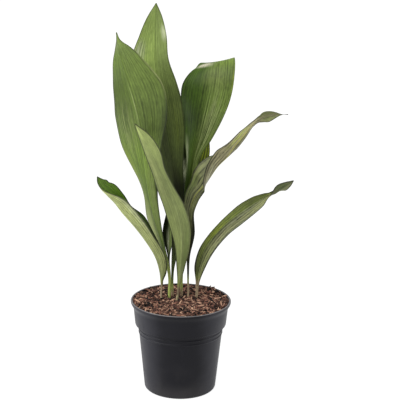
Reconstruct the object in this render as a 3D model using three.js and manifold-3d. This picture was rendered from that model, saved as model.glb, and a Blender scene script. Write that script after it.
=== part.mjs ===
// Potted cast iron plant: eight long leaves on a creeping rhizome, in bark compost, in a plain plastic
// nursery pot. Millimetres, +Z up, origin at the middle of the pot's base; the front of the plant is -Y.
import * as THREE from "three";
import { mergeVertices } from "three/addons/utils/BufferGeometryUtils.js";
import Module from "manifold-3d";

const wasm = await Module();
wasm.setup();

// Pot
const RIM_RADIUS = 75;
const POT_HEIGHT = 138.5;
const WALL = 1.3;
const FLOOR = 2;
const FOOT_RADIUS = 50;
const BODY_FOOT_RADIUS = 53.6;
const BODY_TAPER = 0.1;
const COLLAR_FOOT = 101.5;
const COLLAR_FOOT_RADIUS = 68.4;
const LIP_FOOT = 125.5;
const LIP_FOOT_RADIUS = 70.7;
const LIP_FLARE = [[71.1, 127.6], [72, 129.8], [73.2, 131.9], [74.2, 133.6]];
const BEAD_RADIUS = 1.5;
const MOUTH_RADIUS = 72.5;
const RING_HEIGHTS = [87.5, 93.5];
const RING_SECTION = [[0, 0], [0.8, 0.6], [0.8, 2.2], [0.2, 2.8]];
const POT_SIDES = 48;
const DRAIN_HOLES = 8;
const DRAIN_CIRCLE = 36;
const DRAIN_RADIUS = 4.5;
const FOOT_ROUNDING = 4;
const STEP_SLOPE = 2;

// Soil
const GAP = 0.3;
const FACET_SAG = 0.3;
const SOIL_MIDDLE = 133.4;
const SOIL_EDGE_RISE = 2.4;
const SOIL_SIDES = 32;
const SOIL_RINGS = 5;
const HEAP = { x: 46, y: 45, height: 4, radius: 15 };
const CHIPS = 54;
const CHIP_SEED = 7;
const CHIP_FIELD_RADIUS = 67;
const CHIP_LENGTH = [8, 16];
const CHIP_WIDTH = [5, 8];
const CHIP_DEPTH = [3.5, 5];
const CHIP_TIP = 0.25;
const CHIP_RISE = 0.3;
const STEM_CLEARANCE = 9;

// Rhizome and leaves
const RHIZOME_HEIGHT = 105;
const RHIZOME_RADIUS = 5;
const RHIZOME_LINE = [[-27, 18], [-15, 21], [-3, 23], [9, 22], [18, 21], [25, 20]];
const RHIZOME_MIDDLE = 21.5;
const STUB_RADIUS = 3.2;
const STUB_TOP = 110.8;
const STUB_OVERLAP = 2;
const ROOT_RADIUS = 1.4;
const ROOT_CLEARANCE = 1;
const ROOTS = [
  { x: -22, y: 19, reach: [-34, 10, 48] },
  { x: -10, y: 22, reach: [-14, -22, 34] },
  { x: 1, y: 23, reach: [6, 34, 26] },
  { x: 10, y: 22, reach: [22, -12, 40] },
  { x: 20, y: 21, reach: [36, 24, 52] },
];
const HOLE_RADIUS = 4.2;
const BLADE_THICKNESS = 0.7;
const RIB_THICKNESS = 1.1;
const RIB_HALF_WIDTH = 4;
const PETIOLE_DEPTH = 0.8;
const STALK_GIRTH = 2.2;
const ARCH = 0.5;
const WAVE_LENGTH = 95;
const STEPS_PER_ROW = 8;
const STATIONS_PER_ROW = 2;
const ACROSS = [-1, -0.66, -0.33, 0, 0.33, 0.66, 1];

// Each leaf is a list of rows from its foot in the soil to its tip. A row is the midrib's x, y and z,
// the blade's width to the left and to the right of it, the angle in degrees that the blade is turned
// about the midrib (positive brings its right half forward), and how far its left and its right half
// are folded forward. bladeFrom is the row where the stalk opens into the blade.
const LEAVES = {
  leaf_broad_left: {
    colour: 0x6a8248, wave: 1.6, phase: 0.4, bladeFrom: 3,
    rows: [
      [-14.4, 20, 112, 2.6, 2.6, 0, 0, 0],
      [-17.9, 19.5, 135, 2.1, 2.1, 0, 0, 0],
      [-18.7, 17, 175, 2.4, 2.4, 10, -20, -20],
      [-27.9, 12, 218, 9, 3, 15, -25, -25],
      [-38.9, 6, 256, 19, 8, 22, -28, -34],
      [-46.9, 0, 294, 14.8, 12, 24, -26, -42],
      [-52.4, -5, 334, 29.5, 17, 22, -24, -32],
      [-57.4, -9, 374, 44, 28, 20, -22, -24],
      [-63.4, -12, 412, 47.5, 42, 20, -20, -20],
      [-71.4, -14, 444, 36, 47, 20, -18, -18],
      [-79.4, -14, 469, 26.5, 41, 18, -16, -16],
      [-86.9, -12, 494, 19.5, 29, 20, -16, -14],
      [-91.9, -9, 512, 6.5, 17, 14, -10, -10],
      [-93.9, -6, 524, 1.3, 5, 10, -6, -6],
      [-94.9, -4, 535, 0.6, 0.6, 8, 0, 0],
    ],
  },
  leaf_tall_back: {
    colour: 0x7c954f, wave: 1.2, phase: 2.1, bladeFrom: 3,
    rows: [
      [-9.4, 28, 112, 2.6, 2.6, 0, 0, 0],
      [-13.6, 28.5, 138, 2.1, 2.1, 0, 0, 0],
      [-13.4, 30, 176, 2.3, 2.3, 0, 10, 10],
      [-8.4, 31, 216, 7.5, 6, -5, 20, 20],
      [-7.9, 32, 256, 11, 9.5, -8, 22, 22],
      [-9.9, 33, 296, 21, 13, -10, 24, 24],
      [-16.4, 35, 338, 27.5, 17, -10, 20, 22],
      [-22.9, 36, 380, 34.5, 26, -8, 16, 18],
      [-30.4, 37, 421, 39, 30, 0, 12, 14],
      [-36.4, 38, 459, 40, 27.3, 8, 12, 12],
      [-40.4, 39, 494, 36.5, 19.8, 10, 14, 14],
      [-41.9, 41, 526, 23.8, 17.7, 10, 16, 16],
      [-41.9, 43, 551, 13, 11, 8, 10, 10],
      [-41.4, 46, 572.5, 0.6, 0.6, 0, 0, 0],
    ],
  },
  leaf_front_middle: {
    colour: 0x87945c, wave: 0.6, phase: 0.9, bladeFrom: 3,
    rows: [
      [-5.4, 17, 112, 2.6, 2.6, 0, 0, 0],
      [-4.9, 17, 136, 2, 2, 0, 0, 0],
      [-3.4, 14, 159, 2.6, 2.6, 0, -5, -5],
      [-1.9, 10, 184, 5.5, 7, 0, -12, -12],
      [0.1, 3, 218, 11, 12, 0, -18, -18],
      [-1.4, -5, 251, 17.6, 14.5, 0, -20, -20],
      [-8.4, -16, 284, 19.6, 13, 0, -20, -20],
      [-18.9, -27, 315, 19, 8.5, 0, -20, -20],
      [-29.9, -38, 344, 15, 7, 2, -18, -18],
      [-40.9, -49, 371, 13, 11.5, 4, -16, -16],
      [-53.4, -58, 395, 7, 10, 4, -12, -12],
      [-65.4, -64, 416.5, 0.6, 0.6, 0, 0, 0],
    ],
  },
  leaf_upright_right: {
    colour: 0x4f6b36, wave: 1.2, phase: 3.4, bladeFrom: 3,
    rows: [
      [2.6, 28, 112, 2.6, 2.6, 0, 0, 0],
      [0.4, 31, 139, 2, 2, 0, 0, 0],
      [0.4, 36, 176, 2.3, 2.3, 0, 30, 30],
      [2.1, 43, 215, 7, 6, 5, 55, 45],
      [5.1, 50, 257, 12, 11, 8, 70, 45],
      [10.1, 57, 299, 18, 13, 8, 75, 35],
      [14.6, 64, 338, 27, 10, 6, 75, 25],
      [22.6, 70, 374, 35, 22.5, 4, 55, 18],
      [29.6, 76, 409.5, 40, 32, 2, 32, 14],
      [35.1, 82, 440, 40, 38, 4, 14, 14],
      [38.1, 90, 465, 32.5, 40, 9, -6, 14],
      [40.1, 104, 479, 25, 37, 12, -16, 13.5],
      [42.6, 126, 475, 15, 25, 10, 2, 6],
      [46.6, 144, 450, 9, 13, 4, 0, 4],
      [50.6, 152, 414, 0.6, 0.6, 0, 0, 0],
    ],
  },
  leaf_arching_left: {
    colour: 0x97a36a, wave: 0.5, phase: 1.2, bladeFrom: 3,
    rows: [
      [-24.4, 17, 112, 2.4, 2.4, -60, 0, 0],
      [-29.9, 17, 135, 1.6, 1.6, -70, 0, 0],
      [-29.4, 14, 159, 2.2, 2.2, -76, 40, 30],
      [-32, 9, 181, 11.5, 8, -82, 75, 55],
      [-39.9, 2, 206.5, 16, 13, -85, 80, 60],
      [-55, -7, 234, 16.5, 17, -86, 80, 60],
      [-69.7, -15, 256, 19, 21, -86, 80, 60],
      [-84.9, -23, 276.5, 20, 16.5, -86, 80, 60],
      [-95.9, -30, 293.5, 18, 18, -84, 78, 56],
      [-106.9, -35, 306.5, 9.5, 19.5, -78, 74, 48],
      [-114.4, -39, 316, 3.5, 15.5, -66, 60, 36],
      [-119.1, -42, 326, 1.6, 12.5, -50, 40, 25],
      [-119.4, -45, 336, 0.6, 0.6, -40, 0, 0],
    ],
  },
  leaf_rear: {
    colour: 0x33472a, wave: 0.8, phase: 2.8, bladeFrom: 3,
    rows: [
      [-15.4, 33, 112, 2.3, 2.3, 0, 0, 0],
      [-16.9, 34, 135, 1.8, 1.8, 0, 0, 0],
      [-18, 36, 162, 1.8, 1.8, 0, 0, 0],
      [-20.2, 41, 194, 1.8, 2.2, 0, 20, 20],
      [-21.1, 49, 228, 10, 13, 0, 30, 30],
      [-19.4, 59.5, 262, 5.5, 15.5, 0, 25, 25],
      [-9.9, 68.5, 295, 20, 22, 0, 20, 20],
      [1.6, 77, 322.5, 24, 32, 0, 16, 16],
      [13.6, 88, 348.5, 24, 28.5, 0, 14, 14],
      [23.6, 99, 373, 20, 17, 0, 12, 12],
      [32.6, 110, 394, 12, 10, 0, 8, 8],
      [40.1, 120, 414.5, 0.6, 0.6, 0, 0, 0],
    ],
  },
  leaf_twisted_right: {
    colour: 0x858356, wave: 0.4, phase: 0.2, bladeFrom: 3,
    rows: [
      [11.6, 21, 112, 2, 2, 0, 0, 0],
      [10.6, 22, 136, 1.7, 1.7, 0, 0, 0],
      [10, 23, 168, 1.5, 1.5, 0, 0, 0],
      [9.8, 23, 201, 3, 3.2, 0, 20, 20],
      [10.6, 22, 237, 9, 10.5, 5, 30, 30],
      [11.6, 20, 270, 12, 8.6, 10, 35, 35],
      [18.1, 17, 293, 16, 12.5, 22, 40, 38],
      [27.6, 14.5, 306, 20, 9.4, 42, 42, 12],
      [36.1, 12, 317, 26, 16, 66, 45, 45],
      [49.9, 7, 340, 28, 19, 108, 45, 40],
      [64.2, 3, 356.6, 14, 18.6, 140, 35, 35],
      [74, -2, 372.6, 9, 10.6, 166, 30, 30],
      [87.8, -7, 391.6, 5.5, 8.6, 182, 34, 34],
      [96.1, -9, 404.5, 4.6, 4.4, 186, 36, 36],
      [104.1, -12, 413.6, 4.8, 2.6, 184, 10, 10],
      [111.6, -14, 418, 6.8, 6.4, 172, -16, -16],
      [121.6, -17, 421.5, 8.6, 14.5, 165, -20, -20],
      [138.7, -21.5, 424.7, 0.9, 1.1, 174, -4, -4],
      [148.6, -24, 425.5, 0.5, 0.5, 180, 0, 0],
    ],
  },
  leaf_arching_right: {
    colour: 0x6d7d42, wave: 0.5, phase: 1.9, bladeFrom: 3,
    rows: [
      [21.6, 20, 112, 2.6, 2.6, 0, 0, 0],
      [23.6, 20, 140, 1.9, 1.9, 0, 0, 0],
      [24.6, 18, 161.5, 3.2, 3.4, 0, 20, 20],
      [27.1, 14, 188, 8.8, 10.3, 0, 30, 30],
      [34.6, 9, 213.5, 11, 13.8, 0, 32, 32],
      [47.1, 3, 235.5, 12.3, 14.3, 0, 32, 32],
      [62.6, -4, 255, 14, 14, 0, 32, 32],
      [79.6, -11, 271.5, 17, 14, 0, 32, 32],
      [96.6, -18, 286.5, 20.5, 12.5, 0, 32, 32],
      [111.1, -24, 298.5, 18, 10, 5, 34, 34],
      [120.6, -28, 306.5, 8.5, 7, 25, 42, 42],
      [128.1, -31, 309.8, 5, 6, 60, 55, 55],
      [134.1, -34, 313, 6, 7, 120, 40, 40],
      [141.6, -37, 320, 8.5, 9, 160, 16, 16],
      [150.6, -40, 327.5, 5.2, 5.5, 175, 8, 8],
      [158.1, -44, 334.5, 0.6, 0.6, 180, 0, 0],
    ],
  },
};

const SHOOT = { x: -7.5, y: 7, foot: 112, tip: 143, radius: 2.4, lean: 2 };

// Solids and meshes

// A closed geometry as a manifold solid, its shared vertices merged.
function solidOf(geometry) {
  const bare = geometry.clone();
  bare.deleteAttribute("normal");
  bare.deleteAttribute("uv");
  const merged = mergeVertices(bare, 1e-4);
  return new wasm.Manifold(new wasm.Mesh({
    numProp: 3,
    vertProperties: new Float32Array(merged.attributes.position.array),
    triVerts: new Uint32Array(merged.index.array),
  }));
}

function geometryOf(solid) {
  const mesh = solid.getMesh();
  const geometry = new THREE.BufferGeometry();
  geometry.setAttribute("position", new THREE.BufferAttribute(new Float32Array(mesh.vertProperties), 3));
  geometry.setIndex(new THREE.BufferAttribute(new Uint32Array(mesh.triVerts), 1));
  const flat = geometry.toNonIndexed();
  flat.computeVertexNormals();
  return flat;
}

// A solid of revolution about Z from [radius, height] points, listed upwards on the outside.
function turned(points, sides) {
  const profile = points.map(([radius, height]) => new THREE.Vector2(radius, height));
  return new THREE.LatheGeometry(profile, sides).rotateX(Math.PI / 2);
}

// A closed skin over rings of equal count, each ring running anticlockwise seen from the last one.
function skinOf(rings) {
  const count = rings[0].length;
  const points = rings.flat();
  const faces = [];
  for (let r = 0; r + 1 < rings.length; r += 1) {
    for (let i = 0; i < count; i += 1) {
      const a = r * count + i;
      const b = r * count + (i + 1) % count;
      faces.push([a, b, b + count], [a, b + count, a + count]);
    }
  }
  const last = (rings.length - 1) * count;
  for (let i = 1; i + 1 < count; i += 1) {
    faces.push([0, i + 1, i], [last, last + i, last + i + 1]);
  }
  return trianglesOf(points, faces);
}

function trianglesOf(points, faces) {
  const geometry = new THREE.BufferGeometry();
  geometry.setAttribute("position", new THREE.Float32BufferAttribute(points.flatMap((p) => [p.x, p.y, p.z]), 3));
  geometry.setIndex(faces.flat());
  return geometry;
}

// A tube of the given radius along points, with flat ends.
function tube(points, radius, sides, steps) {
  const section = new THREE.Shape();
  for (let i = 0; i < sides; i += 1) {
    const angle = (2 * Math.PI * i) / sides;
    const corner = [radius * Math.cos(angle), radius * Math.sin(angle)];
    if (i === 0) section.moveTo(...corner);
    else section.lineTo(...corner);
  }
  section.closePath();
  return new THREE.ExtrudeGeometry(section, {
    extrudePath: new THREE.CatmullRomCurve3(points),
    steps,
    bevelEnabled: false,
  });
}

function smoothstep(low, high, value) {
  const t = Math.min(Math.max((value - low) / (high - low), 0), 1);
  return t * t * (3 - 2 * t);
}

// A repeatable row of numbers from 0 to 1.
function seededRandom(seed) {
  let state = seed;
  return () => {
    state = (state * 1664525 + 1013904223) % 4294967296;
    return state / 4294967296;
  };
}

// Leaves

// All the columns of the rows at place u, by a smooth curve through the rows.
function rowAt(rows, u) {
  const i = Math.min(Math.floor(u), rows.length - 2);
  const f = u - i;
  const here = rows[i];
  const next = rows[i + 1];
  const before = rows[i - 1] ?? here.map((v, k) => 2 * v - next[k]);
  const after = rows[i + 2] ?? next.map((v, k) => 2 * v - here[k]);
  return here.map((v, k) => 0.5 * (
    2 * v + (next[k] - before[k]) * f
    + (2 * before[k] - 5 * v + 4 * next[k] - after[k]) * f * f
    + (3 * v - before[k] - 3 * next[k] + after[k]) * f * f * f
  ));
}

// Stations along a leaf, each with its row, its place u, the run of midrib below it and the blade's own
// sideways and facing directions. The sideways direction is carried along the midrib from the foot.
function stationsOf(rows) {
  const count = (rows.length - 1) * STEPS_PER_ROW + 1;
  const samples = Array.from({ length: count }, (_, i) => rowAt(rows, i / STEPS_PER_ROW));
  const ribs = samples.map(([x, y, z]) => new THREE.Vector3(x, y, z));
  const side = new THREE.Vector3(1, 0, 0);
  let run = 0;
  return samples.map((row, i) => {
    const ahead = ribs[Math.min(i + 1, count - 1)];
    const behind = ribs[Math.max(i - 1, 0)];
    const along = ahead.clone().sub(behind).normalize();
    side.addScaledVector(along, -side.dot(along)).normalize();
    const facing = side.clone().cross(along);
    const turn = THREE.MathUtils.degToRad(row[5]);
    if (i > 0) run += ribs[i].distanceTo(ribs[i - 1]);
    return {
      rib: ribs[i], row, run, u: i / STEPS_PER_ROW,
      across: side.clone().multiplyScalar(Math.cos(turn)).addScaledVector(facing, Math.sin(turn)),
      face: facing.clone().multiplyScalar(Math.cos(turn)).addScaledVector(side, -Math.sin(turn)),
    };
  });
}

// A leaf as one closed skin: at each station a ring goes along the front face from the left margin to
// the right one and back along the back face. Both faces share their places, so they can't cross.
function leafGeometry({ rows, wave, phase, bladeFrom }) {
  const every = STEPS_PER_ROW / STATIONS_PER_ROW;
  const lastRow = rows.length - 1;
  const rings = stationsOf(rows).filter((_, i) => i % every === 0).map((station) => {
    const { rib, row, run, u, across, face } = station;
    const stalk = 1 - smoothstep(bladeFrom - 1, bladeFrom + 1, u);
    const toTip = Math.max((u - bladeFrom) / (lastRow - bladeFrom), 0);
    const ripple = wave * Math.sin((2 * Math.PI * run) / WAVE_LENGTH + phase)
      * smoothstep(bladeFrom, bladeFrom + 3, u) * (1 - smoothstep(lastRow - 3, lastRow, u));
    const front = [];
    const back = [];
    for (const t of ACROSS) {
      const hand = t < 0 ? -1 : 1;
      const share = Math.abs(t);
      const width = t < 0 ? row[3] : row[4];
      const fold = THREE.MathUtils.degToRad(t < 0 ? row[6] : row[7]);
      const outward = across.clone().multiplyScalar(hand * Math.cos(fold)).addScaledVector(face, Math.sin(fold));
      const proud = face.clone().multiplyScalar(Math.cos(fold)).addScaledVector(across, -hand * Math.sin(fold));
      const normal = share === 0 ? face : proud;
      const lift = -ARCH * Math.sin(fold) * width * share * (1 - share) + hand * ripple * share * share;
      const middle = rib.clone().addScaledVector(outward, width * share).addScaledVector(proud, lift);
      const ribHeight = RIB_THICKNESS * (1 - toTip) * Math.max(0, 1 - (share * width) / RIB_HALF_WIDTH);
      const bladeHalf = BLADE_THICKNESS / 2 + ribHeight / 2;
      const girth = Math.min(width, STALK_GIRTH) * Math.sqrt(1 - share * share);
      const stalkHalf = BLADE_THICKNESS / 2 + PETIOLE_DEPTH * girth;
      const half = THREE.MathUtils.lerp(bladeHalf, stalkHalf, stalk);
      front.push(middle.clone().addScaledVector(normal, half));
      back.unshift(middle.clone().addScaledVector(normal, -half));
    }
    return [...back, ...front];
  });
  return skinOf(rings);
}

// The hole that a leaf's stalk stands in, wide enough to be clear of it.
function stemHole(rows) {
  const places = [0, 0.5, 1, 1.4].map((u) => rowAt(rows, u));
  const points = places.map(([x, y, z]) => new THREE.Vector3(x, y, z));
  points[0].z = STUB_TOP - STUB_OVERLAP;
  return tube(points, HOLE_RADIUS, 8, 4);
}

// Pot

function bodyRadius(height) {
  return BODY_FOOT_RADIUS + BODY_TAPER * height;
}

function potGeometry() {
  const rings = RING_HEIGHTS.flatMap((foot) => RING_SECTION.map(
    ([proud, rise]) => [bodyRadius(foot) + proud, foot + rise],
  ));
  const flare = [[LIP_FOOT_RADIUS, LIP_FOOT], ...LIP_FLARE];
  const outside = [
    [0, 0],
    [FOOT_RADIUS, 0],
    [BODY_FOOT_RADIUS - 1, 1],
    [bodyRadius(FOOT_ROUNDING), FOOT_ROUNDING],
    ...rings,
    [bodyRadius(COLLAR_FOOT - 2), COLLAR_FOOT - 2],
    [bodyRadius(COLLAR_FOOT) + 1, COLLAR_FOOT],
    [COLLAR_FOOT_RADIUS - 1.2, COLLAR_FOOT],
    [COLLAR_FOOT_RADIUS, COLLAR_FOOT + 1.6],
    ...flare,
    [RIM_RADIUS - 0.1, POT_HEIGHT - 2 * BEAD_RADIUS],
    [RIM_RADIUS, POT_HEIGHT - BEAD_RADIUS],
    [RIM_RADIUS - 0.3 * BEAD_RADIUS, POT_HEIGHT - 0.3 * BEAD_RADIUS],
    [RIM_RADIUS - BEAD_RADIUS, POT_HEIGHT],
    [MOUTH_RADIUS, POT_HEIGHT - 0.5 * BEAD_RADIUS],
  ];
  const inside = [
    ...flare.map(([radius, height]) => [radius - WALL, height + 0.5 * WALL]).reverse(),
    [COLLAR_FOOT_RADIUS - WALL, COLLAR_FOOT + STEP_SLOPE],
    [bodyRadius(COLLAR_FOOT) - WALL, COLLAR_FOOT],
    [bodyRadius(FOOT_ROUNDING) - WALL, FOOT_ROUNDING],
    [bodyRadius(FOOT_ROUNDING) - WALL - 2, FLOOR],
    [0, FLOOR],
  ];
  let pot = solidOf(turned([...outside, ...inside], POT_SIDES));
  for (let i = 0; i < DRAIN_HOLES; i += 1) {
    const angle = (2 * Math.PI * (i + 0.5)) / DRAIN_HOLES;
    const drill = new THREE.CylinderGeometry(DRAIN_RADIUS, DRAIN_RADIUS, 4 * FLOOR, 12);
    drill.rotateX(Math.PI / 2).translate(DRAIN_CIRCLE * Math.cos(angle), DRAIN_CIRCLE * Math.sin(angle), FLOOR / 2);
    pot = pot.subtract(solidOf(drill));
  }
  return geometryOf(pot);
}

// Soil

// Height of the compost's surface: dished about the stalks, with soft lumps and a heap at the back right.
function soilHeight(x, y) {
  const reach = Math.hypot(x, y) / MOUTH_RADIUS;
  const lumps = 0.7 * Math.sin(0.16 * x + 1.1) * Math.cos(0.19 * y - 0.6) + 0.5 * Math.sin(0.31 * x - 0.27 * y);
  const fromHeap = ((x - HEAP.x) ** 2 + (y - HEAP.y) ** 2) / HEAP.radius ** 2;
  return SOIL_MIDDLE + SOIL_EDGE_RISE * reach ** 4 + lumps + HEAP.height * Math.exp(-fromHeap);
}

// The filling below the surface, clear of the pot's wall and floor.
function soilBlock() {
  const inset = WALL + GAP + FACET_SAG;
  const sides = [
    [bodyRadius(FOOT_ROUNDING) - inset - 2, FLOOR + GAP],
    [bodyRadius(FOOT_ROUNDING) - inset, FOOT_ROUNDING + GAP],
    [bodyRadius(COLLAR_FOOT) - inset, COLLAR_FOOT + GAP],
    [COLLAR_FOOT_RADIUS - inset, COLLAR_FOOT + STEP_SLOPE + GAP],
    [LIP_FOOT_RADIUS - inset, LIP_FOOT + 2 * WALL],
  ];
  const edge = MOUTH_RADIUS - GAP - FACET_SAG;
  const angles = Array.from({ length: SOIL_SIDES }, (_, i) => (2 * Math.PI * i) / SOIL_SIDES);
  const rings = sides.map(([radius, height]) => angles.map(
    (a) => new THREE.Vector3(radius * Math.cos(a), radius * Math.sin(a), height),
  ));
  for (let k = SOIL_RINGS; k > 0; k -= 1) {
    const radius = (edge * k) / SOIL_RINGS;
    rings.push(angles.map((a) => {
      const x = radius * Math.cos(a);
      const y = radius * Math.sin(a);
      return new THREE.Vector3(x, y, soilHeight(x, y));
    }));
  }
  return solidOf(skinOf(rings));
}

// A bark chip: a box with uneven corners, about its own middle.
function barkChip(length, width, depth, random) {
  const chip = new THREE.BoxGeometry(length, width, depth);
  chip.deleteAttribute("normal");
  chip.deleteAttribute("uv");
  const merged = mergeVertices(chip);
  const corners = merged.attributes.position;
  for (let i = 0; i < corners.count; i += 1) {
    corners.setXYZ(
      i,
      corners.getX(i) * (0.7 + 0.3 * random()),
      corners.getY(i) * (0.6 + 0.4 * random()),
      corners.getZ(i) * (0.7 + 0.5 * random()),
    );
  }
  return merged;
}

// Chips lie in a spiral of equal shares of the surface, each half sunk and a little tipped, and those by
// the wall are cut to the space inside the collar.
function chipSolids(stems) {
  const random = seededRandom(CHIP_SEED);
  const collarSpace = solidOf(turned([
    [0, COLLAR_FOOT],
    [COLLAR_FOOT_RADIUS - WALL - 2 * GAP, COLLAR_FOOT + STEP_SLOPE],
    [LIP_FOOT_RADIUS - WALL - 2 * GAP, LIP_FOOT + 2 * WALL],
    [MOUTH_RADIUS - 2 * GAP, POT_HEIGHT - 2 * BEAD_RADIUS],
    [MOUTH_RADIUS - 2 * GAP, 2 * POT_HEIGHT],
    [0, 2 * POT_HEIGHT],
  ], POT_SIDES));
  const golden = Math.PI * (3 - Math.sqrt(5));
  const solids = [];
  for (let i = 0; i < CHIPS; i += 1) {
    const radius = CHIP_FIELD_RADIUS * Math.sqrt((i + 0.5) / CHIPS);
    const angle = i * golden + 0.5 * (random() - 0.5);
    const x = radius * Math.cos(angle);
    const y = radius * Math.sin(angle);
    const [length, width, depth] = [CHIP_LENGTH, CHIP_WIDTH, CHIP_DEPTH].map(
      ([least, most]) => least + (most - least) * random(),
    );
    const chip = barkChip(length, width, depth, random);
    chip.rotateX(CHIP_TIP * (2 * random() - 1)).rotateY(CHIP_TIP * (2 * random() - 1));
    chip.rotateZ(Math.PI * random()).translate(x, y, soilHeight(x, y) + CHIP_RISE);
    const free = stems.every(([sx, sy]) => Math.hypot(x - sx, y - sy) > STEM_CLEARANCE);
    if (free) solids.push(solidOf(chip).intersect(collarSpace));
  }
  return solids;
}

function soilGeometry(holes, hollow, stems) {
  let soil = soilBlock();
  for (const chip of chipSolids(stems)) soil = soil.add(chip);
  for (const hole of holes) soil = soil.subtract(solidOf(hole));
  soil = soil.subtract(hollow);
  const pieces = soil.decompose().sort((a, b) => b.volume() - a.volume());
  return geometryOf(pieces[0]);
}

// Rhizome

// The rhizome with the stub under each stalk and its main roots, every part fatter by the margin.
function rhizomeSolid(stems, margin) {
  const line = RHIZOME_LINE.map(([x, y]) => new THREE.Vector3(x, y, RHIZOME_HEIGHT));
  if (margin > 0) {
    line[0].x -= margin;
    line[line.length - 1].x += margin;
  }
  let body = solidOf(tube(line, RHIZOME_RADIUS + margin, 8, 7));
  for (const [x, y] of stems) {
    const start = new THREE.Vector3(x, RHIZOME_MIDDLE, RHIZOME_HEIGHT);
    const below = new THREE.Vector3(x, y, RHIZOME_HEIGHT);
    const top = new THREE.Vector3(x, y, STUB_TOP);
    if (start.distanceTo(below) > STUB_RADIUS) {
      const past = below.clone().add(below.clone().sub(start).setLength(STUB_RADIUS + margin));
      body = body.add(solidOf(tube([start, past], STUB_RADIUS + margin, 8, 1)));
    }
    below.z -= margin;
    body = body.add(solidOf(tube([below, top], STUB_RADIUS + margin, 8, 1)));
  }
  for (const { x, y, reach } of ROOTS) {
    const [tipX, tipY, tipZ] = reach;
    const run = [
      new THREE.Vector3(x, y, RHIZOME_HEIGHT),
      new THREE.Vector3(x + 0.25 * (tipX - x), y + 0.25 * (tipY - y), RHIZOME_HEIGHT - 18),
      new THREE.Vector3(x + 0.7 * (tipX - x), y + 0.7 * (tipY - y), (RHIZOME_HEIGHT + tipZ) / 2),
      new THREE.Vector3(tipX, tipY, tipZ - margin),
    ];
    body = body.add(solidOf(tube(run, ROOT_RADIUS + margin, 6, 5)));
  }
  return body;
}

// Shoot

// A pointed new leaf, still rolled in its sheath.
function shootGeometry() {
  const { x, y, foot, tip, radius, lean } = SHOOT;
  const height = tip - foot;
  const profile = [
    [0, foot],
    [0.8 * radius, foot],
    [radius, foot + 0.6 * height],
    [0.85 * radius, foot + 0.78 * height],
    [0.45 * radius, foot + 0.92 * height],
    [0, tip],
  ];
  const shoot = turned(profile, 10);
  const places = shoot.attributes.position;
  for (let i = 0; i < places.count; i += 1) {
    const rise = (places.getZ(i) - foot) / height;
    places.setX(i, places.getX(i) + x + lean * rise * rise);
    places.setY(i, places.getY(i) + y);
  }
  return geometryOf(solidOf(shoot));
}

function shootHole() {
  const { x, y, tip } = SHOOT;
  const line = [new THREE.Vector3(x, y, STUB_TOP - STUB_OVERLAP), new THREE.Vector3(x + 1, y, tip + 6)];
  return tube(line, HOLE_RADIUS, 8, 1);
}

// Assembly

const PLASTIC = { color: 0x26282b, roughness: 0.45, metalness: 0 };
const COMPOST = { color: 0x4a2f24, roughness: 0.95, metalness: 0 };
const ROOTSTOCK = { color: 0xb59a6a, roughness: 0.8, metalness: 0 };
const SHEATH = { color: 0xc9b98a, roughness: 0.6, metalness: 0 };

const plant = new THREE.Group();

function addPiece(name, geometry, look) {
  const mesh = new THREE.Mesh(geometry, new THREE.MeshStandardMaterial({ flatShading: true, ...look }));
  mesh.name = name;
  plant.add(mesh);
}

const leafRows = Object.values(LEAVES).map((leaf) => leaf.rows);
const stems = leafRows.map((rows) => rows[1]);
const feet = [...leafRows.map((rows) => rows[0]), [SHOOT.x, SHOOT.y]];
const holes = [...leafRows.map(stemHole), shootHole()];

addPiece("pot", potGeometry(), PLASTIC);
addPiece("soil", soilGeometry(holes, rhizomeSolid(feet, ROOT_CLEARANCE), stems), COMPOST);
addPiece("rhizome", geometryOf(rhizomeSolid(feet, 0)), ROOTSTOCK);
addPiece("new_shoot", shootGeometry(), SHEATH);
for (const [name, leaf] of Object.entries(LEAVES)) {
  addPiece(name, leafGeometry(leaf), { color: leaf.colour, roughness: 0.45, metalness: 0 });
}

export default plant;
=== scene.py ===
"""Potted cast iron plant, dressed: fine leaves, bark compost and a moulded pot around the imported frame.

Metres, +Z up, origin in the middle of the pot's base. The front of the plant is -Y.
"""

import math
import random

import bpy
import numpy as np
from bpy.props import FloatProperty, FloatVectorProperty, IntProperty, PointerProperty
from mathutils import Matrix, Vector, noise


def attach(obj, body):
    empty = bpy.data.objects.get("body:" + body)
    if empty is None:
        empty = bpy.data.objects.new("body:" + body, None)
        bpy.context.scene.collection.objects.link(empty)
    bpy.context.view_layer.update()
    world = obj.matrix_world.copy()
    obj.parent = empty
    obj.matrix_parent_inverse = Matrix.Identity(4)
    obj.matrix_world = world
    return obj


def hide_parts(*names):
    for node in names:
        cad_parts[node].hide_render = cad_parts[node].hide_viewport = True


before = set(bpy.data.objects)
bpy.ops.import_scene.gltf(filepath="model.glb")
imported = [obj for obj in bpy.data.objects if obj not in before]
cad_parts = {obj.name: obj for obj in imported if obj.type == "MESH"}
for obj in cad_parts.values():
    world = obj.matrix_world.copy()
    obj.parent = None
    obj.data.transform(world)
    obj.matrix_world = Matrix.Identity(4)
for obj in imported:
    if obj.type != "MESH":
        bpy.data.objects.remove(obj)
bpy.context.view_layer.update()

bl_info = {
    "name": "Potted Cast Iron Plant",
    "version": (1, 0, 0),
    "blender": (4, 5, 0),
    "location": "View3D > Sidebar > Plant",
    "description": "Builds a potted cast iron plant around its packed frame",
    "category": "Object",
}

MM = 0.001

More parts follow.
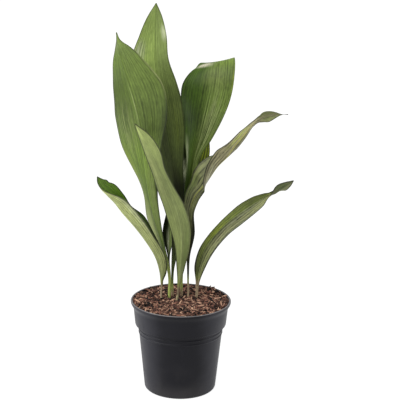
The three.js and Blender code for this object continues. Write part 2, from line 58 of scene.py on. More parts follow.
# Leaves. Rows run from the foot in the compost to the tip: the midrib's x, y and z, the blade's width to
# the left and to the right of it (all in millimetres), the angle in degrees that the blade is turned about
# the midrib, and how far its left and its right half are folded forward. wave is the height in millimetres
# of the ripple along the margins, and phase shifts it. keel is 1 where the underside faces front, and
# twists is True where a leaf turns so far that both of its sides show. tints name colours of the palette
# for the front's left and right half and then the back's, some of them lit and shaded copies of one green
# that paint light and shade on a half; seam is how softly the halves meet, and veins counts those of each
# half. The midrib stands out by rib_front along rib_span. The stalk's colour, at a brightness of stem,
# fades out between two shares of the way up to the blade, and the papery sheath round the stalk reaches up
# to a height of sheath millimetres. contrast scales the blade's fine texture, ribbed says how dark the lines
# between its veins are and the margin's strength how much painted shade darkens its edge, and gloss is its
# share of mirrored light. The two shades paint light and shade on each half by scaling its brightness along
# it, from 0 at the foot to 1 at the tip. Each spot is a soft patch, some of painted light and shade, some of
# the leaf's own colour: its place along the leaf, its share across it, its two radii, its tint, its strength
# and how much the veins show through it. A leaf that doesn't twist has its spots on the front alone.
USUAL_LEAF = dict(keel=-1, twists=False, rib="dark", rib_front=0.3, rib_span=(0.2, 1), stalk=(0.5, 0.9),
                  sheath=150, stem=0.9, margin=0.85)
LEAVES = {}
LEAVES["leaf_broad_left"] = dict(
    slot="leaf_green", wave=1.6, phase=0.4, keel=1, tints=("leaf_left", "leaf_right", "deep", "deep"),
    rib="light", rib_front=0.5, rib_span=(0.56, 0.68), veins=11, seam=0.12, stalk=(0.5, 1), sheath=137,
    stem=1.1, contrast=1.2, margin=0.65, gloss=0.26, ribbed=0.25,
    shade_left=((0.1, 0.8), (0.2, 0.45), (0.3, 0.66), (0.46, 1.05), (0.56, 0.66), (0.72, 0.68), (0.8, 1),
                (1, 0.7)),
    shade_right=((0.1, 0.7), (0.2, 0.85), (0.32, 1.5), (0.46, 1.75), (0.54, 0.66), (0.7, 0.98),
                 (0.84, 0.88), (1, 1.9)),
    spots=[
        (0.27, -0.6, 0.13, 0.7, "pale", 0.55, 0),
        (0.4, 1, 0.14, 0.5, "gloom", 0.95, 0),
        (0.55, 1, 0.1, 0.3, "gloom", 0.5, 0),
        (0.34, 0.4, 0.17, 0.6, "olive", 0.75, 0.3),
        (0.42, -0.9, 0.1, 0.35, "yellow_green", 0.35, 0.3),
        (0.9, -0.4, 0.1, 0.9, "sheen", 0.15, 0),
        (0.72, 1, 0.14, 0.07, "pale", 0.8, 0),
        (0.55, -0.5, 0.12, 0.6, "pale", 0.3, 1),
    ],
    rows=[
        (-14.4, 20, 112, 2.6, 2.6, 0, 0, 0),
        (-17.9, 19.5, 135, 2.1, 2.1, 0, 0, 0),
        (-18.7, 17, 175, 2.4, 2.4, 10, -20, -20),
        (-27.9, 12, 218, 9, 3, 15, -25, -25),
        (-38.9, 6, 256, 19, 8, 22, -28, -34),
        (-46.9, 0, 294, 14.8, 12, 24, -26, -42),
        (-52.4, -5, 334, 29.5, 17, 22, -24, -32),
        (-57.4, -9, 374, 44, 28, 20, -22, -24),
        (-63.4, -12, 412, 47.5, 42, 20, -20, -20),
        (-71.4, -14, 444, 36, 47, 20, -18, -18),
        (-79.4, -14, 469, 26.5, 41, 18, -16, -16),
        (-86.9, -12, 494, 19.5, 29, 20, -16, -14),
        (-91.9, -9, 512, 6.5, 17, 14, -10, -10),
        (-93.9, -6, 524, 1.3, 5, 10, -6, -6),
        (-94.9, -4, 535, 0.6, 0.6, 8, 0, 0),
    ])
LEAVES["leaf_tall_back"] = dict(
    slot="leaf_green", wave=1.2, phase=2.1, tints=("fresh", "fresh", "leaf_right", "leaf_right"),
    rib_front=0.5, rib_span=(0.5, 1), veins=10, seam=0.15, stalk=(0.3, 0.6), contrast=1.1, margin=0.55,
    gloss=0.16, ribbed=0.25,
    shade_left=((0, 0.7), (0.25, 0.12), (0.45, 0.25), (0.56, 0.27), (0.64, 0.62), (0.72, 1.1), (0.8, 1.35),
                (0.9, 0.95)),
    shade_right=((0, 0.7), (0.25, 0.08), (0.4, 0.08), (0.46, 0.37), (0.55, 0.48), (0.64, 0.4), (0.8, 0.78),
                 (1, 0.7)),
    spots=[
        (0.79, -0.75, 0.06, 0.4, "sheen", 0.75, 0.5),
        (0.86, 0.75, 0.05, 0.35, "sheen", 0.8, 0.3),
        (0.42, 0.2, 0.12, 0.6, "plum", 0.35, 0),
        (0.56, 0.6, 0.1, 0.35, "yellow_green", 0.12, 1),
    ],
    rows=[
        (-9.4, 28, 112, 2.6, 2.6, 0, 0, 0),
        (-13.6, 28.5, 138, 2.1, 2.1, 0, 0, 0),
        (-13.4, 30, 176, 2.3, 2.3, 0, 10, 10),
        (-8.4, 31, 216, 7.5, 6, -5, 20, 20),
        (-7.9, 32, 256, 11, 9.5, -8, 22, 22),
        (-9.9, 33, 296, 21, 13, -10, 24, 24),
        (-16.4, 35, 338, 27.5, 17, -10, 20, 22),
        (-22.9, 36, 380, 34.5, 26, -8, 16, 18),
        (-30.4, 37, 421, 39, 30, 0, 12, 14),
        (-36.4, 38, 459, 40, 27.3, 8, 12, 12),
        (-40.4, 39, 494, 36.5, 19.8, 10, 14, 14),
        (-41.9, 41, 526, 23.8, 17.7, 10, 16, 16),
        (-41.9, 43, 551, 13, 11, 8, 10, 10),
        (-41.4, 46, 572.5, 0.6, 0.6, 0, 0, 0),
    ])
LEAVES["leaf_front_middle"] = dict(
    slot="leaf_pale", wave=0.6, phase=0.9, keel=1, tints=("olive", "olive", "leaf_right", "leaf_right"),
    rib="light", rib_front=0.25, rib_span=(0.2, 0.6), veins=6, seam=0.1, stalk=(0.5, 1), sheath=160,
    stem=0.62, contrast=0.9, gloss=0.28, ribbed=0.2,
    shade_left=((0, 0.85), (0.2, 0.62), (0.3, 1.02), (0.42, 1.02), (0.5, 0.96), (0.64, 0.72), (0.8, 0.95),
                (0.9, 1.25), (1, 2.8)),
    shade_right=((0, 0.85), (0.12, 0.6), (0.2, 0.68), (0.3, 0.8), (0.54, 1.1), (0.68, 0.98), (0.8, 1.4),
                 (1, 1.5)),
    spots=[
        (0.72, -0.6, 0.25, 0.4, "pale", 0.4, 0),
        (0.36, 0.55, 0.16, 0.5, "leaf_right", 0.4, 0),
        (0.66, 1, 0.07, 0.25, "deep_olive", 0.5, 0),
        (0.4, 1, 0.2, 0.1, "pale", 0.7, 0),
        (0.22, 0.2, 0.1, 1, "sheen", 0.2, 0),
    ],
    rows=[
        (-5.4, 17, 112, 2.6, 2.6, 0, 0, 0),
        (-4.9, 17, 136, 2, 2, 0, 0, 0),
        (-3.4, 14, 159, 2.6, 2.6, 0, -5, -5),
        (-1.9, 10, 184, 5.5, 7, 0, -12, -12),
        (0.1, 3, 218, 11, 12, 0, -18, -18),
        (-1.4, -5, 251, 17.6, 14.5, 0, -20, -20),
        (-8.4, -16, 284, 19.6, 13, 0, -20, -20),
        (-18.9, -27, 315, 19, 8.5, 0, -20, -20),
        (-29.9, -38, 344, 15, 7, 2, -18, -18),
        (-40.9, -49, 371, 13, 11.5, 4, -16, -16),
        (-53.4, -58, 395, 7, 10, 4, -12, -12),
        (-65.4, -64, 416.5, 0.6, 0.6, 0, 0, 0),
    ])
LEAVES["leaf_upright_right"] = dict(
    slot="leaf_green", wave=1.2, phase=3.4, tints=("deep", "leaf_right", "leaf_right", "leaf_right"),
    rib_front=0.15, veins=10, seam=0.45, stem=0.8, contrast=1.3, margin=0.55, gloss=0.16, ribbed=0.3,
    shade_left=((0, 0.8), (0.3, 0.5), (0.4, 0.8), (0.46, 1.6), (0.54, 0.9), (0.62, 1.25), (0.72, 1.25),
                (0.84, 1.8)),
    shade_right=((0, 0.8), (0.3, 0.9), (0.4, 1.6), (0.5, 1.2), (0.64, 1.12), (0.71, 0.72), (0.78, 1.4),
                 (0.9, 1.3)),
    spots=[
        (0.5, 0.5, 0.16, 0.5, "deep", 0.7, 0),
        (0.5, 0.42, 0.18, 0.6, "light", 0.9, 1),
        (0.69, 0.97, 0.08, 0.1, "yellow_green", 0.25, 0),
        (0.53, -1, 0.05, 0.3, "gloom", 0.3, 0),
        (0.44, -0.7, 0.07, 0.32, "sheen", 0.75, 0.3),
        (0.78, -0.4, 0.035, 0.7, "cream", 0.8, 0),
        (0.7, 0.2, 0.08, 0.8, "olive", 0.4, 0.2),
    ],
    rows=[
        (2.6, 28, 112, 2.6, 2.6, 0, 0, 0),
        (0.4, 31, 139, 2, 2, 0, 0, 0),
        (0.4, 36, 176, 2.3, 2.3, 0, 30, 30),
        (2.1, 43, 215, 7, 6, 5, 55, 45),
        (5.1, 50, 257, 12, 11, 8, 70, 45),
        (10.1, 57, 299, 18, 13, 8, 75, 35),
        (14.6, 64, 338, 27, 10, 6, 75, 25),
        (22.6, 70, 374, 35, 22.5, 4, 55, 18),
        (29.6, 76, 409.5, 40, 32, 2, 32, 14),
        (35.1, 82, 440, 40, 38, 4, 14, 14),
        (38.1, 90, 465, 32.5, 40, 9, -6, 14),
        (40.1, 104, 479, 25, 37, 12, -16, 13.5),
        (42.6, 126, 475, 15, 25, 10, 2, 6),
        (46.6, 144, 450, 9, 13, 4, 0, 4),
        (50.6, 152, 414, 0.6, 0.6, 0, 0, 0),
    ])
LEAVES["leaf_arching_left"] = dict(
    slot="leaf_pale", wave=0.5, phase=1.2, twists=True, tints=("vivid", "vivid", "pale", "pale"), veins=6,
    seam=0.08, sheath=166, stem=1, contrast=1.4, gloss=0.28, ribbed=0.4,
    shade_left=((0, 0.85), (0.2, 0.45), (0.3, 0.76), (0.46, 1.02), (0.6, 1.12), (0.72, 1.02), (0.8, 1.7),
                (1, 1.6)),
    shade_right=((0, 0.85), (0.2, 0.6), (0.46, 0.42), (0.54, 0.7), (0.62, 1.1), (0.7, 1.15), (0.8, 1.45),
                 (1, 0.85)),
    spots=[
        (0.58, -0.85, 0.2, 0.25, "sheen", 0.5, 0.3),
        (0.45, -0.2, 0.2, 0.25, "deep_olive", 0.35, 0.5),
        (0.8, 0.5, 0.12, 0.5, "deep", 0.4, 1),
    ],
    rows=[
        (-24.4, 17, 112, 2.4, 2.4, -60, 0, 0),
        (-29.9, 17, 135, 1.6, 1.6, -70, 0, 0),
        (-29.4, 14, 159, 2.2, 2.2, -76, 40, 30),
        (-32, 9, 181, 11.5, 8, -82, 75, 55),
        (-39.9, 2, 206.5, 16, 13, -85, 80, 60),
        (-55, -7, 234, 16.5, 17, -86, 80, 60),
        (-69.7, -15, 256, 19, 21, -86, 80, 60),
        (-84.9, -23, 276.5, 20, 16.5, -86, 80, 60),
        (-95.9, -30, 293.5, 18, 18, -84, 78, 56),
        (-106.9, -35, 306.5, 9.5, 19.5, -78, 74, 48),
        (-114.4, -39, 316, 3.5, 15.5, -66, 60, 36),
        (-119.1, -42, 326, 1.6, 12.5, -50, 40, 25),
        (-119.4, -45, 336, 0.6, 0.6, -40, 0, 0),
    ])
LEAVES["leaf_rear"] = dict(
    slot="leaf_dark", wave=0.8, phase=2.8, tints=("shaded", "shaded", "shaded", "shaded"), veins=7,
    seam=0.1, stalk=(0.3, 0.6), contrast=1.2, margin=0.3, gloss=0.12, ribbed=0.2,
    shade_left=((0, 1), (0.25, 0.6), (1, 1)),
    shade_right=((0, 1), (0.25, 0.6), (1, 1)),
    spots=[
        (0.36, 0.5, 0.11, 0.7, "fresh", 0.85, 0.3),
        (0.31, -0.1, 0.1, 0.4, "sheen", 0.85, 0.3),
        (0.38, -0.95, 0.1, 0.35, "gloom", 0.9, 0),
        (0.61, -0.5, 0.08, 1.1, "sheen", 0.9, 0),
        (0.74, 0.8, 0.1, 0.5, "yellow_green", 0.65, 0.8),
    ],
    rows=[
        (-15.4, 33, 112, 2.3, 2.3, 0, 0, 0),
        (-16.9, 34, 135, 1.8, 1.8, 0, 0, 0),
        (-18, 36, 162, 1.8, 1.8, 0, 0, 0),
        (-20.2, 41, 194, 1.8, 2.2, 0, 20, 20),
        (-21.1, 49, 228, 10, 13, 0, 30, 30),
        (-19.4, 59.5, 262, 5.5, 15.5, 0, 25, 25),
        (-9.9, 68.5, 295, 20, 22, 0, 20, 20),
        (1.6, 77, 322.5, 24, 32, 0, 16, 16),
        (13.6, 88, 348.5, 24, 28.5, 0, 14, 14),
        (23.6, 99, 373, 20, 17, 0, 12, 12),
        (32.6, 110, 394, 12, 10, 0, 8, 8),
        (40.1, 120, 414.5, 0.6, 0.6, 0, 0, 0),
    ])
LEAVES["leaf_twisted_right"] = dict(
    slot="leaf_pale", wave=0.4, phase=0.2, twists=True, tints=("drab", "drab", "beige", "beige"),
    rib="yellow", rib_front=0.5, rib_span=(0.3, 0.72), veins=4, seam=0.15, stalk=(0.5, 0.75), sheath=164,
    stem=1.1, contrast=1.6, gloss=0.24, ribbed=0.5,
    shade_left=((0, 0.6), (0.1, 0.9), (0.14, 0.5), (0.2, 0.5), (0.3, 0.75), (0.46, 1), (0.6, 0.72),
                (0.72, 1.7), (0.8, 0.7), (0.88, 0.85)),
    shade_right=((0, 0.9), (0.1, 0.6), (0.2, 0.2), (0.3, 0.84), (0.38, 0.3), (0.46, 0.85), (0.54, 1),
                 (0.72, 0.74), (0.79, 1.15), (0.88, 0.85)),
    spots=[
        (0.66, 0.5, 0.1, 0.4, "yellow_green", 0.5, 0.4),
        (0.66, -0.3, 0.1, 0.5, "deep_olive", 0.6, 0.3),
        (0.22, 0.9, 0.1, 0.7, "gloom", 0.9, 0),
        (0.5, 0.9, 0.1, 0.3, "shaded", 0.5, 1),
        (0.46, 0.3, 0.1, 0.5, "sheen", 0.35, 1),
        (0.38, -0.7, 0.1, 0.4, "leaf_right", 0.5, 0),
        (0.89, -0.45, 0.1, 0.7, "olive", 0.7, 0),
        (0.88, 0.7, 0.12, 0.8, "deep_olive", 0.8, 0),
    ],
    rows=[
        (11.6, 21, 112, 2, 2, 0, 0, 0),
        (10.6, 22, 136, 1.7, 1.7, 0, 0, 0),
        (10, 23, 168, 1.5, 1.5, 0, 0, 0),
        (9.8, 23, 201, 3, 3.2, 0, 20, 20),
        (10.6, 22, 237, 9, 10.5, 5, 30, 30),
        (11.6, 20, 270, 12, 8.6, 10, 35, 35),
        (18.1, 17, 293, 16, 12.5, 22, 40, 38),
        (27.6, 14.5, 306, 20, 9.4, 42, 42, 12),
        (36.1, 12, 317, 26, 16, 66, 45, 45),
        (49.9, 7, 340, 28, 19, 108, 45, 40),
        (64.2, 3, 356.6, 14, 18.6, 140, 35, 35),
        (74, -2, 372.6, 9, 10.6, 166, 30, 30),
        (87.8, -7, 391.6, 5.5, 8.6, 182, 34, 34),
        (96.1, -9, 404.5, 4.6, 4.4, 186, 36, 36),
        (104.1, -12, 413.6, 4.8, 2.6, 184, 10, 10),
        (111.6, -14, 418, 6.8, 6.4, 172, -16, -16),
        (121.6, -17, 421.5, 8.6, 14.5, 165, -20, -20),
        (138.7, -21.5, 424.7, 0.9, 1.1, 174, -4, -4),
        (148.6, -24, 425.5, 0.5, 0.5, 180, 0, 0),
    ])
LEAVES["leaf_arching_right"] = dict(
    slot="leaf_green", wave=0.5, phase=1.9, twists=True, tints=("deep_olive", "drab", "drab", "drab"),
    veins=4, seam=0.2, sheath=172, contrast=1.6, gloss=0.26, ribbed=0.5,
    shade_left=((0, 1), (0.12, 0.4), (0.28, 1.5), (0.46, 1.9), (0.56, 0.92), (0.66, 1.05), (0.72, 2.2),
                (0.84, 0.92)),
    shade_right=((0, 1), (0.12, 0.8), (0.22, 0.75), (0.3, 0.8), (0.46, 0.94), (0.6, 1.55), (0.76, 0.42),
                 (1, 0.58)),
    spots=[
        (0.36, -0.35, 0.08, 0.5, "yellow_green", 0.6, 0.3),
        (0.5, 0.15, 0.2, 0.3, "sheen", 0.6, 1),
        (0.45, 0.95, 0.25, 0.22, "shaded", 0.6, 0.6),
        (0.4, 0.5, 0.25, 0.4, "beige", 0.6, 1),
        (0.2, -0.9, 0.14, 0.4, "gloom", 0.6, 0),
        (0.24, 0.4, 0.12, 0.8, "deep_olive", 0.5, 0.4),
        (0.72, 0.2, 0.05, 1.2, "beige", 0.6, 0),
        (0.89, 0.4, 0.1, 1, "deep", 0.45, 0),
    ],
    rows=[
        (21.6, 20, 112, 2.6, 2.6, 0, 0, 0),
        (23.6, 20, 140, 1.9, 1.9, 0, 0, 0),
        (24.6, 18, 161.5, 3.2, 3.4, 0, 20, 20),
        (27.1, 14, 188, 8.8, 10.3, 0, 30, 30),
        (34.6, 9, 213.5, 11, 13.8, 0, 32, 32),
        (47.1, 3, 235.5, 12.3, 14.3, 0, 32, 32),
        (62.6, -4, 255, 14, 14, 0, 32, 32),
        (79.6, -11, 271.5, 17, 14, 0, 32, 32),
        (96.6, -18, 286.5, 20.5, 12.5, 0, 32, 32),
        (111.1, -24, 298.5, 18, 10, 5, 34, 34),
        (120.6, -28, 306.5, 8.5, 7, 25, 42, 42),
        (128.1, -31, 309.8, 5, 6, 60, 55, 55),
        (134.1, -34, 313, 6, 7, 120, 40, 40),
        (141.6, -37, 320, 8.5, 9, 160, 16, 16),
        (150.6, -40, 327.5, 5.2, 5.5, 175, 8, 8),
        (158.1, -44, 334.5, 0.6, 0.6, 180, 0, 0),
    ])

BLADE_FROM = 3  # the row where the stalk opens into the blade
ROW_STEPS = 12
HALF_STEPS = 28
BLADE_THICKNESS = 0.6 * MM
MARGIN_THICKNESS = 0.4 * MM
KEEL_HEIGHT = 0.7 * MM
KEEL_HALF_WIDTH = 2.6 * MM
GROOVE_DEPTH = 0.25 * MM
STALK_SKIN = 0.3 * MM
STALK_DEPTH = 0.8
STALK_GIRTH = 2.2 * MM
CHANNEL_DEPTH = 0.35
ARCH = 0.5
WAVE_LENGTH = 95 * MM
DRIFT_LENGTH = 70 * MM
PLEATS = 7
PLEAT_DEPTH = 0.08 * MM
FULLY_PLEATED_WIDTH = 20 * MM


def srgb(red, green, blue):
    """A colour written as 0 to 255 on a screen, as the linear values that shaders use."""
    shares = (part / 255 for part in (red, green, blue))
    return tuple(share / 12.92 if share <= 0.04 else ((share + 0.055) / 1.055) ** 2.4 for share in shares)


def swatch(name, description, *colour):
    return FloatVectorProperty(
        name=name, description=description, subtype="COLOR", size=3, min=0.0, max=1.0, default=srgb(*colour))


def length_setting(name, description, default):
    return FloatProperty(name=name, description=description, default=default, unit="LENGTH")


def angle_setting(name, description, degrees):
    return FloatProperty(name=name, description=description, default=math.radians(degrees), subtype="ANGLE")


class PotSettings(bpy.types.PropertyGroup):
    """Sizes and colour of the nursery pot."""

    sides: IntProperty(name="Sides", description="Facets round the pot", default=144, min=24)
    wall: length_setting("Wall", "Thickness of the wall", 1.3 * MM)
    floor: length_setting("Floor", "Thickness of the floor", 2 * MM)
    rim_radius: length_setting("Rim radius", "Outer radius of the lip", 75 * MM)
    height: length_setting("Height", "Height of the pot", 138.5 * MM)
    colour: swatch("Plastic", "Colour of the plastic", 15, 15, 20)


class CompostSettings(bpy.types.PropertyGroup):
    """Amounts and colours of the bark compost."""

    chips: IntProperty(name="Chips", description="Number of bark chips", default=1150, min=0)
    crumbs: IntProperty(name="Crumbs", description="Number of fine crumbs", default=1300, min=0)
    fibres: IntProperty(name="Fibres", description="Number of coir fibres", default=420, min=0)
    seed: IntProperty(name="Seed", description="Start of the random draw", default=11)
    dark: swatch("Dark bark", "Colour of the oldest bark", 16, 9, 7)
    brown: swatch("Brown bark", "Colour of most of the bark", 92, 64, 53)
    red: swatch("Red bark", "Colour of the freshest bark", 140, 94, 78)
    tan: swatch("Tan bark", "Colour of the palest chips", 204, 164, 136)


class LeafSettings(bpy.types.PropertyGroup):
    """Palette of the leaves."""

    # Several of these greens are lit and shaded copies of one leaf green: they paint light and shade on the
    # blade.
    leaf_left: swatch("Leaf green, turned away", "Half of a blade turned from the light", 84, 104, 34)
    leaf_right: swatch("Leaf green", "Blade in an even light", 94, 112, 50)
    fresh: swatch("Fresh green", "Upper side in full light", 123, 141, 74)
    deep: swatch("Deep green", "Upper side turned from the light", 50, 70, 18)
    deep_olive: swatch("Deep olive", "Upper side of the twisted leaf", 88, 98, 44)
    olive: swatch("Olive", "Underside of the nearest leaf", 120, 131, 76)
    pale: swatch("Pale green", "Dull, pale underside", 148, 156, 98)
    vivid: swatch("Vivid green", "Upper side of the left arching leaf", 74, 104, 14)
    beige: swatch("Beige green", "Dull underside in a low light", 128, 124, 92)
    drab: swatch("Drab green", "Dull underside that leans to the right", 112, 116, 76)
    cream: swatch("Cream", "Blade that mirrors the light", 206, 200, 176)
    # Painted sheen: highlights where light glances off the glossy blade, painted into the leaves' colour.
    sheen: swatch("Sheen", "Bloom on the wax of the blade", 176, 182, 148)
    shaded: swatch("Shaded green", "The leaf behind the others", 30, 40, 10)
    gloom: swatch("Gloom", "Deepest shade between the leaves", 12, 16, 5)
    plum: swatch("Plum", "Shaded foot of the tall leaf", 34, 30, 26)
    yellow_green: swatch("Yellow green", "Young tissue", 142, 156, 40)
    light: swatch("Light rib", "Midrib where it is paler than the blade", 158, 170, 110)
    dark: swatch("Dark rib", "Midrib where it is a shaded groove", 44, 62, 18)
    yellow: swatch("Yellow rib", "Midrib of the twisted leaf", 180, 178, 70)
    stalk: swatch("Stalk", "Stalks between compost and blade", 178, 192, 104)
    stalk_foot: swatch("Stalk foot", "Papery foot of the stalks", 170, 150, 122)


class StageSettings(bpy.types.PropertyGroup):
    """Camera, lights and floor."""

    lens: FloatProperty(name="Lens", description="Focal length", default=99.0, unit="CAMERA")
    pitch: angle_setting("Pitch", "Angle that the camera looks down", 14.58)
    roll: angle_setting("Roll", "Turn of the camera about its line of sight", 0.92)
    key: FloatProperty(name="Key", description="Strength of the soft key light", default=1.9)
    world: FloatProperty(name="Surround", description="Strength of the white surround", default=0.45)
    glow: FloatProperty(name="Glow", description="Light that the lit floor gives off", default=1.03)
    floor: swatch("Floor", "Colour of the pale floor", 246, 246, 246)


class PlantSettings(bpy.types.PropertyGroup):
    """All settings of the potted plant."""

    pot: PointerProperty(type=PotSettings)
    compost: PointerProperty(type=CompostSettings)
    leaves: PointerProperty(type=LeafSettings)
    stage: PointerProperty(type=StageSettings)


# Finishes


def math_operator(operation, swapped=False):
    """A Python operator between a field and another value, which adds a Math node."""
    def apply(self, other):
        first, second = (other, self) if swapped else (self, other)
        return self.finish.math(operation, first, second)
    return apply


class Field:
    """A socket's value that takes part in Python arithmetic: each operation adds a Math node."""

    def __init__(self, finish, socket):
        self.finish = finish
        self.socket = socket

    __add__ = math_operator("ADD")
    __radd__ = math_operator("ADD", swapped=True)
    __sub__ = math_operator("SUBTRACT")
    __rsub__ = math_operator("SUBTRACT", swapped=True)
    __mul__ = math_operator("MULTIPLY")
    __rmul__ = math_operator("MULTIPLY", swapped=True)
    __truediv__ = math_operator("DIVIDE")
    __rtruediv__ = math_operator("DIVIDE", swapped=True)

    def __abs__(self):
        return self.finish.math("ABSOLUTE", self)


class Finish:
    """A material in the making: its node tree and the ways in which nodes are added to it."""

    def __init__(self, name):
        self.material = bpy.data.materials.new(name)
        self.material.use_nodes = True
        self.tree = self.material.node_tree
        self.shader = self.tree.nodes["Principled BSDF"]

    def fill(self, socket, value):
        """Sets a socket to a number or colour, or links a field to it."""
        if isinstance(value, Field):
            self.tree.links.new(value.socket, socket)
        elif hasattr(value, "__len__") and len(value) == 3 and socket.type == "RGBA":
            socket.default_value = (*value, 1.0)
        else:
            socket.default_value = value

    def node(self, kind, settings=None, values=None, output=0):
        """Adds a node, makes its settings, fills its sockets and gives the field of one output."""
        node = self.tree.nodes.new(kind)
        for key, value in (settings or {}).items():
            if key == "stops":
                self.set_stops(node.color_ramp, value)
            else:
                setattr(node, key, value)
        for key, value in (values or {}).items():
            self.fill(node.inputs[key], value)
        return Field(self, node.outputs[output])

    @staticmethod
    def set_stops(ramp, stops):
        """Gives a colour ramp its stops, each a place and a grey or a colour."""
        while len(ramp.elements) < len(stops):
            ramp.elements.new(0.5)
        for element, (place, colour) in zip(ramp.elements, stops):
            element.position = place
            element.color = (*(colour if hasattr(colour, "__len__") else (colour,) * 3), 1.0)

    def math(self, operation, *values):
        return self.node("ShaderNodeMath", {"operation": operation}, dict(enumerate(values)))

    def attribute(self, name):
        return self.node("ShaderNodeAttribute", {"attribute_name": name}, output="Fac")

    def place(self):
        """Object coordinates, which lie still in the piece."""
        return self.node("ShaderNodeTexCoord", output="Object")

    def vector(self, x, y, z=0.0):
        return self.node("ShaderNodeCombineXYZ", values={"X": x, "Y": y, "Z": z})

    def part(self, vector, axis):
        """A vector's part along X, Y or Z."""
        return self.node("ShaderNodeSeparateXYZ", values={"Vector": vector}, output=axis)

    def distance(self, first, second):
        """How far apart two vectors are."""
        settings = {"operation": "DISTANCE"}
        return self.node("ShaderNodeVectorMath", settings, {0: first, 1: second}, output="Value")

    def stretched(self, vector, scale):
        """A vector with its three parts scaled by three numbers."""
        return self.node("ShaderNodeVectorMath", {"operation": "MULTIPLY"}, {0: vector, 1: scale})

    def noise(self, vector, scale, detail=3.0, roughness=0.5):
        """Smooth noise from 0 to 1."""
        values = {"Vector": vector, "Scale": scale, "Detail": detail, "Roughness": roughness}
        return self.node("ShaderNodeTexNoise", values=values)

    def step(self, value, low, high):
        """0 below low, 1 above high and smooth between."""
        settings = {"interpolation_type": "SMOOTHSTEP"}
        values = {"Value": value, "From Min": low, "From Max": high}
        return self.node("ShaderNodeMapRange", settings, values)

    def ramp(self, value, stops):
        return self.node("ShaderNodeValToRGB", {"stops": stops}, {"Fac": value})

    def mix(self, share, first, second, blend="MIX"):
        """A blend of two colours; its sockets go by number, as they share their names with others."""
        settings = {"data_type": "RGBA", "blend_type": blend}
        return self.node("ShaderNodeMix", settings, {0: share, 6: first, 7: second}, output=2)

    def times(self, first, second, share=1.0):
        """A colour multiplied by another or by a grey, up to that share."""
        return self.mix(share, first, second, "MULTIPLY")

    def layered(self, colour, layers):
        """A colour with tints laid over it, each by its own share."""
        for share, tint in layers:
            colour = self.mix(share, colour, tint)
        return colour

    def bump(self, height, depth, strength):
        """A normal that stands for a relief of that depth in metres, where height runs from 0 to 1."""
        values = {"Strength": strength, "Distance": depth, "Height": height}
        return self.node("ShaderNodeBump", values=values)

    def shade(self, values):
        """Fills the shader's own sockets."""
        for key, value in values.items():
            self.fill(self.shader.inputs[key], value)
        return self.material


# Heights between which finishes change: dust, a paler foot, the painted lip highlight and the sheath's
# green.
# The painted sheen on the pot's sides goes by distance from the middle, the lip highlight by depth below its
# top.
DUST_HEIGHT = 75 * MM
PALER_FOOT = (4 * MM, 30 * MM)
PAINTED_SIDE_SHEEN = (22 * MM, 56 * MM)
LIP_HIGHLIGHT = (1.1 * MM, 0.2 * MM)
SHEATH_GREENING = (128 * MM, 143 * MM)


def plastic_finish(settings):
    """Dark moulded plastic: fine grain, dull scuffs, some dust, a paler foot, painted sheen to the sides and
    on the lip.
    """
    finish = Finish("moulded dark plastic")
    place = finish.place()
    height = finish.part(place, "Z")
    cloud = finish.noise(place, 34.0, 4.0)
    scuffs = finish.noise(finish.stretched(place, (1.0, 1.0, 0.25)), 160.0, 5.0, 0.65)
    scuffs = finish.step(scuffs, 0.56, 0.74)
    grain = finish.noise(place, 1400.0, 2.0)
    dust = (1 - finish.step(height, 0.0, DUST_HEIGHT)) * finish.step(cloud, 0.4, 0.75)
    foot = 1 - finish.step(height, *PALER_FOOT)
    # Painted sheen: the sides are made paler, as if they mirrored the white surround.
    sides = finish.step(abs(finish.part(place, "X")) + (cloud - 0.5) * 0.02, *PAINTED_SIDE_SHEEN)
    # Painted highlight: a lighter line along the top of the lip.
    painted_lip_highlight = finish.step(height, *(settings.height - depth for depth in LIP_HIGHLIGHT))
    lighter = tuple(1.8 * c + 0.003 for c in settings.colour)
    # Over the plastic: cloud, scuffs, dust, a paler foot, painted sheen on the sides, painted highlight on
    # the lip.
    colour = finish.layered(settings.colour, (
        (cloud * 0.5, lighter), (scuffs * 0.3, lighter), (dust * 0.12, srgb(80, 76, 72)),
        (foot * 0.35, srgb(64, 62, 62)), (sides * 0.8, srgb(46, 46, 52)),
        (painted_lip_highlight * (0.3 + cloud * 0.6), srgb(142, 138, 138))))
    rough = 0.36 + cloud * 0.1 + scuffs * 0.12 + dust * 0.15
    normal = finish.bump(grain, 0.06 * MM, 0.35)
    return finish.shade({"Base Color": colour, "Roughness": rough, "Normal": normal,
                         "Specular IOR Level": 0.15})


def bark_finish(settings):
    """Bark whose colour goes by each chip's own tone, with a fibrous grain."""
    finish = Finish("bark")
    place = finish.place()
    patch = finish.noise(place, 260.0, 4.0, 0.6)
    fibre = finish.noise(finish.stretched(place, (1.0, 0.35, 1.0)), 1500.0, 3.0, 0.6)
    stops = ((0, settings.dark), (0.38, settings.brown), (0.7, settings.red), (1, settings.tan))
    colour = finish.ramp(finish.attribute("tone") + (patch - 0.5) * 0.45, stops)
    colour = finish.times(colour, finish.ramp(fibre, ((0.3, 0.35), (0.7, 1))), 0.5)
    normal = finish.bump(fibre * 0.6 + patch * 0.4, 0.5 * MM, 0.8)
    return finish.shade({"Base Color": colour, "Roughness": 0.72 + fibre * 0.2, "Normal": normal,
                         "Specular IOR Level": 0.3})


